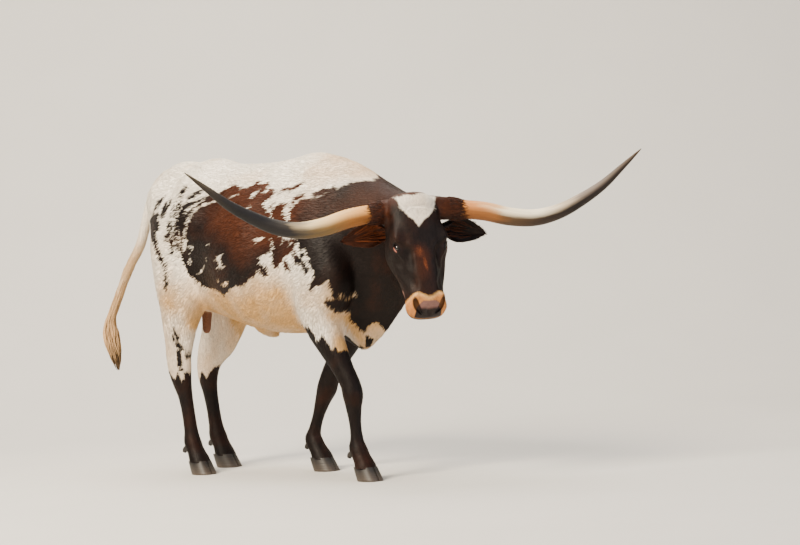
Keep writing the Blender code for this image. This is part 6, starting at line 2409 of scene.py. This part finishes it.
def switch_lines(rng):
    """Locks of the switch in layers round its middle line."""
    width = settings().switch_lock
    lines = []
    for tier, (count, start, end, reach, tone) in enumerate(SWITCH_LAYERS):
        for i in range(count):
            angle = 2 * math.pi * (i + 0.5 * (tier % 2)) / count + rng.uniform(-0.25, 0.25)
            first = max(start + rng.uniform(-0.05, 0.05), 0)
            last = min(end + rng.uniform(-0.12, 0.06), 1)
            drift = rng.uniform(-0.45, 0.45)
            own_reach = reach * rng.uniform(0.86, 1.04)
            wave = rng.uniform(0, 6.28)
            line = []
            for k in range(15):
                t = k / 14
                middle, radius, along = switch_at(first + (last - first) * t)
                turn = angle + drift * t + 0.1 * math.sin(wave + t * 7)
                leave = math.sin(min(t * 1.7, 1) * math.pi / 2)
                off = 0.01 * (1 - leave) + (radius - 0.003) * own_reach * leave
                size = width * (0.55 + 0.45 * leave) * (1 - 0.92 * t**2.2)
                line.append(guide_point(middle + radial(along, turn) * off, size))
            lines.append((line, min(max(tone + rng.uniform(-0.22, 0.22), 0), 1)))
    return lines


def build_switch():
    """The switch of long hair: flat locks in layers round a dark core, tan outside and pointed."""
    rng = np.random.default_rng(SWITCH_SEED)
    lines = switch_lines(rng)
    lines += tail_lines(rng)
    colours = settings()
    material = hair_material("long tail hair", colours.switch_core, colours.switch_hair)
    switch = sweep_locks("switch_of_hair", lines, 6, 0.42, material)
    core_rows = []
    for t in np.linspace(0, 1, 14):
        middle, radius, _ = switch_at(0.8 * t)
        core_rows.append(guide_point(middle, max(radius * 0.42 * (1 - t**3), 0.002)))
    core = tube("switch_core", core_rows, 20, 30)
    count = len(core.data.vertices)
    store(core.data, "along", np.full(count, 0.2))
    store(core.data, "tone", np.zeros(count))
    cover(core, material)
    finish_piece(join([switch, core], "switch_of_hair"), ("tail_switch",))


def build_camera():
    """The camera at the photograph's angle and distance."""
    camera = link_object("camera", bpy.data.cameras.new("camera"))
    camera.data.sensor_width = 36
    camera.data.lens = CAMERA_LENS
    camera.data.clip_end = 200
    back = Vector(CAMERA_BACK).normalized()
    right = Vector((-back.y, back.x, 0)).normalized()
    up = back.cross(right)
    roll = math.radians(CAMERA_ROLL)
    level = right * math.cos(roll) - up * math.sin(roll)
    upright = right * math.sin(roll) + up * math.cos(roll)
    turn = Matrix((level, upright, back)).transposed().to_4x4()
    camera.matrix_world = Matrix.Translation(CAMERA_PLACE) @ turn
    bpy.context.scene.camera = camera


def build_floor():
    """A pale floor that sweeps up behind the animal, square to the camera's direction."""
    back = Vector((CAMERA_BACK[0], CAMERA_BACK[1], 0)).normalized()
    right = Vector((-back.y, back.x, 0))
    profile = [(FLOOR_FRONT, 0.0), (BEND_START, 0.0)]
    for k in range(1, 25):
        angle = math.radians(90 * k / 24)
        profile.append((BEND_START + BEND_RADIUS * math.sin(angle), BEND_RADIUS * (1 - math.cos(angle))))
    profile.append((BEND_START + BEND_RADIUS, BACKDROP_HEIGHT))
    bm = bmesh.new()
    rows = []
    for away, height in profile:
        spots = [back * -away + right * across for across in (-16, -8, 0, 8, 16)]
        rows.append([bm.verts.new((spot.x, spot.y, height)) for spot in spots])
    for first, second in zip(rows, rows[1:]):
        for i in range(4):
            bm.faces.new((first[i], first[i + 1], second[i + 1], second[i]))
    bm.normal_update()
    bm.faces.ensure_lookup_table()
    if bm.faces[0].normal.z < 0:
        bmesh.ops.reverse_faces(bm, faces=bm.faces)
    floor = new_object("studio_floor", bm)
    cover(floor, studio_material())
    shade_smooth(floor)


def soft_light(name, place, size, energy, colour):
    """A square soft light that points at the animal's middle."""
    light = link_object(name, bpy.data.lights.new(name, "AREA"))
    light.data.size = size
    light.data.energy = energy
    light.data.color = linear(colour)
    away = Vector(place) - Vector(LIGHT_TARGET)
    light.matrix_world = Matrix.Translation(place) @ away.to_track_quat("Z", "Y").to_matrix().to_4x4()


def build_stage():
    """Floor, backdrop, lights, world light and camera."""
    build_floor()
    strength = settings().light_strength
    for name, place, size, energy, colour in STUDIO_LIGHTS:
        soft_light(name, place, size, energy * strength, colour)
    world = bpy.data.worlds.new("studio")
    world.use_nodes = True
    tree = world.node_tree
    tree.nodes.clear()
    sockets = {"Color": solid(linear(WORLD_COLOUR)), "Strength": WORLD_STRENGTH * strength}
    glow = add_node(tree, "ShaderNodeBackground", None, sockets)
    add_node(tree, "ShaderNodeOutputWorld", None, {"Surface": glow.outputs[0]})
    bpy.context.scene.world = world
    build_camera()


def size_property(label, text, default, low, high):
    return FloatProperty(
        name=label, description=text, default=default, min=low, max=high, unit="LENGTH", precision=4
    )


def colour_property(label, text, default):
    return FloatVectorProperty(
        name=label, description=text, default=linear(default), size=3, min=0, max=1, subtype="COLOR"
    )


class LonghornSettings(PropertyGroup):
    """Sizes and colours of the animal."""

    coat_depth: size_property("Coat depth", "How far the skin lies inside the solids", 0.0022, 0, 0.01)
    face_coat_depth: size_property("Face coat depth", "The same on the face", 0.001, 0, 0.01)
    tuft_length: size_property("Tuft length", "Length of a tuft on the trunk", 0.026, 0.002, 0.1)
    tuft_width: size_property("Tuft width", "Width of a tuft on the trunk", 0.0046, 0.0005, 0.02)
    tuft_rise: size_property("Tuft rise", "How far a tuft's tip stands off the skin", 0.0022, 0.0002, 0.02)
    tufts: IntProperty(name="Tufts", description="In the fullest coat", default=19600, min=100, max=19900)
    switch_lock: size_property("Switch lock", "Half width of a lock of the switch", 0.0052, 0.001, 0.02)
    light_strength: FloatProperty(name="Light", description="Of all lights", default=1.0, min=0, max=10)
    white_hair: colour_property("White", "White hair of the flanks and rump", "#f6ecdc")
    # Stained hair of the crest and tail, and the painted shade on the belly and the brisket
    tan_hair_and_shade: colour_property("Tan", "Stained hair of the belly and crest", "#cda066")
    brown_hair: colour_property("Red brown", "Lighter brown of the patches", "#42200f")
    black_hair: colour_property("Black brown", "Darkest hair", "#150d0b")
    poll_hair: colour_property("Poll", "Reddish hair between the horns", "#45210f")
    rust_hair: colour_property("Rust", "Rusty fleck down the nose", "#844422")
    muzzle_hair: colour_property("Muzzle", "Orange tan band round the muzzle", "#c98448")
    # Painted highlight along the upper edge of the muzzle's band
    muzzle_highlight: colour_property("Muzzle edge", "Paler upper edge of that band", "#e3ad6a")
    # Partly the bare nose's own colour and partly a painted wet highlight
    nose_skin_and_sheen: colour_property("Nose", "Bare skin between the nostrils", "#7a5850")
    lip_skin: colour_property("Lips", "Dark skin of lips and chin", "#1f1614")
    lid_skin: colour_property("Lids", "Dark skin round the eyes", "#120c0b")
    inner_lid: colour_property("Inner lid", "Reddish skin at the lower lids", "#a8695c")
    pouch_skin: colour_property("Pouch", "Bare skin between the thighs", "#6d4a38")
    hoof_dark: colour_property("Hoof", "Hoof horn", "#1d1916")
    hoof_worn: colour_property("Worn hoof", "Dusty hoof near the ground", "#5b4f44")
    switch_core: colour_property("Switch core", "Dark hair inside the switch", "#1d120d")
    switch_hair: colour_property("Switch hair", "Tan hair outside the switch", "#c6a074")


class LONGHORN_OT_hide(Operator):
    """Build the skin with its markings"""

    bl_idname = "longhorn.hide"
    bl_label = "Hide"

    def execute(self, context):
        build_hide()
        return {"FINISHED"}


class LONGHORN_OT_coat(Operator):
    """Grow the coats of tufts on the skin"""

    bl_idname = "longhorn.coat"
    bl_label = "Coat"

    def execute(self, context):
        build_coat()
        return {"FINISHED"}


class LONGHORN_OT_horns(Operator):
    """Build both horns"""

    bl_idname = "longhorn.horns"
    bl_label = "Horns"

    def execute(self, context):
        build_horns()
        return {"FINISHED"}


class LONGHORN_OT_eyes(Operator):
    """Build the eyes and their lashes"""

    bl_idname = "longhorn.eyes"
    bl_label = "Eyes"

    def execute(self, context):
        build_eyes()
        return {"FINISHED"}


class LONGHORN_OT_fringes(Operator):
    """Add the long hairs at the bosses and in the ears"""

    bl_idname = "longhorn.fringes"
    bl_label = "Fringes"

    def execute(self, context):
        build_fringes()
        return {"FINISHED"}


class LONGHORN_OT_feet(Operator):
    """Build the claws and dewclaws"""

    bl_idname = "longhorn.feet"
    bl_label = "Feet"

    def execute(self, context):
        build_feet()
        return {"FINISHED"}


class LONGHORN_OT_switch(Operator):
    """Build the switch of the tail"""

    bl_idname = "longhorn.switch"
    bl_label = "Switch"

    def execute(self, context):
        build_switch()
        return {"FINISHED"}


class LONGHORN_OT_stage(Operator):
    """Build the floor, lights and camera"""

    bl_idname = "longhorn.stage"
    bl_label = "Stage"

    def execute(self, context):
        build_stage()
        return {"FINISHED"}


class LONGHORN_PT_panel(Panel):
    """Sizes, colours and the steps that build the animal"""

    bl_label = "Longhorn"
    bl_idname = "LONGHORN_PT_panel"
    bl_space_type = "VIEW_3D"
    bl_region_type = "UI"
    bl_category = "Longhorn"

    def draw(self, context):
        column = self.layout.column()
        for name in LonghornSettings.__annotations__:
            column.prop(context.scene.longhorn, name)
        for operator in OPERATORS:
            column.operator(operator.bl_idname)


OPERATORS = (
    LONGHORN_OT_hide,
    LONGHORN_OT_coat,
    LONGHORN_OT_horns,
    LONGHORN_OT_eyes,
    LONGHORN_OT_fringes,
    LONGHORN_OT_feet,
    LONGHORN_OT_switch,
    LONGHORN_OT_stage,
)


def register():
    for item in (LonghornSettings, *OPERATORS, LONGHORN_PT_panel):
        bpy.utils.register_class(item)
    bpy.types.Scene.longhorn = PointerProperty(type=LonghornSettings)


def unregister():
    del bpy.types.Scene.longhorn
    for item in (LONGHORN_PT_panel, *reversed(OPERATORS), LonghornSettings):
        bpy.utils.unregister_class(item)


def main():
    register()
    bpy.ops.longhorn.hide()
    bpy.ops.longhorn.coat()
    bpy.ops.longhorn.horns()
    bpy.ops.longhorn.eyes()
    bpy.ops.longhorn.fringes()
    bpy.ops.longhorn.feet()
    bpy.ops.longhorn.switch()
    bpy.ops.longhorn.stage()


if __name__ == "__main__":
    main()
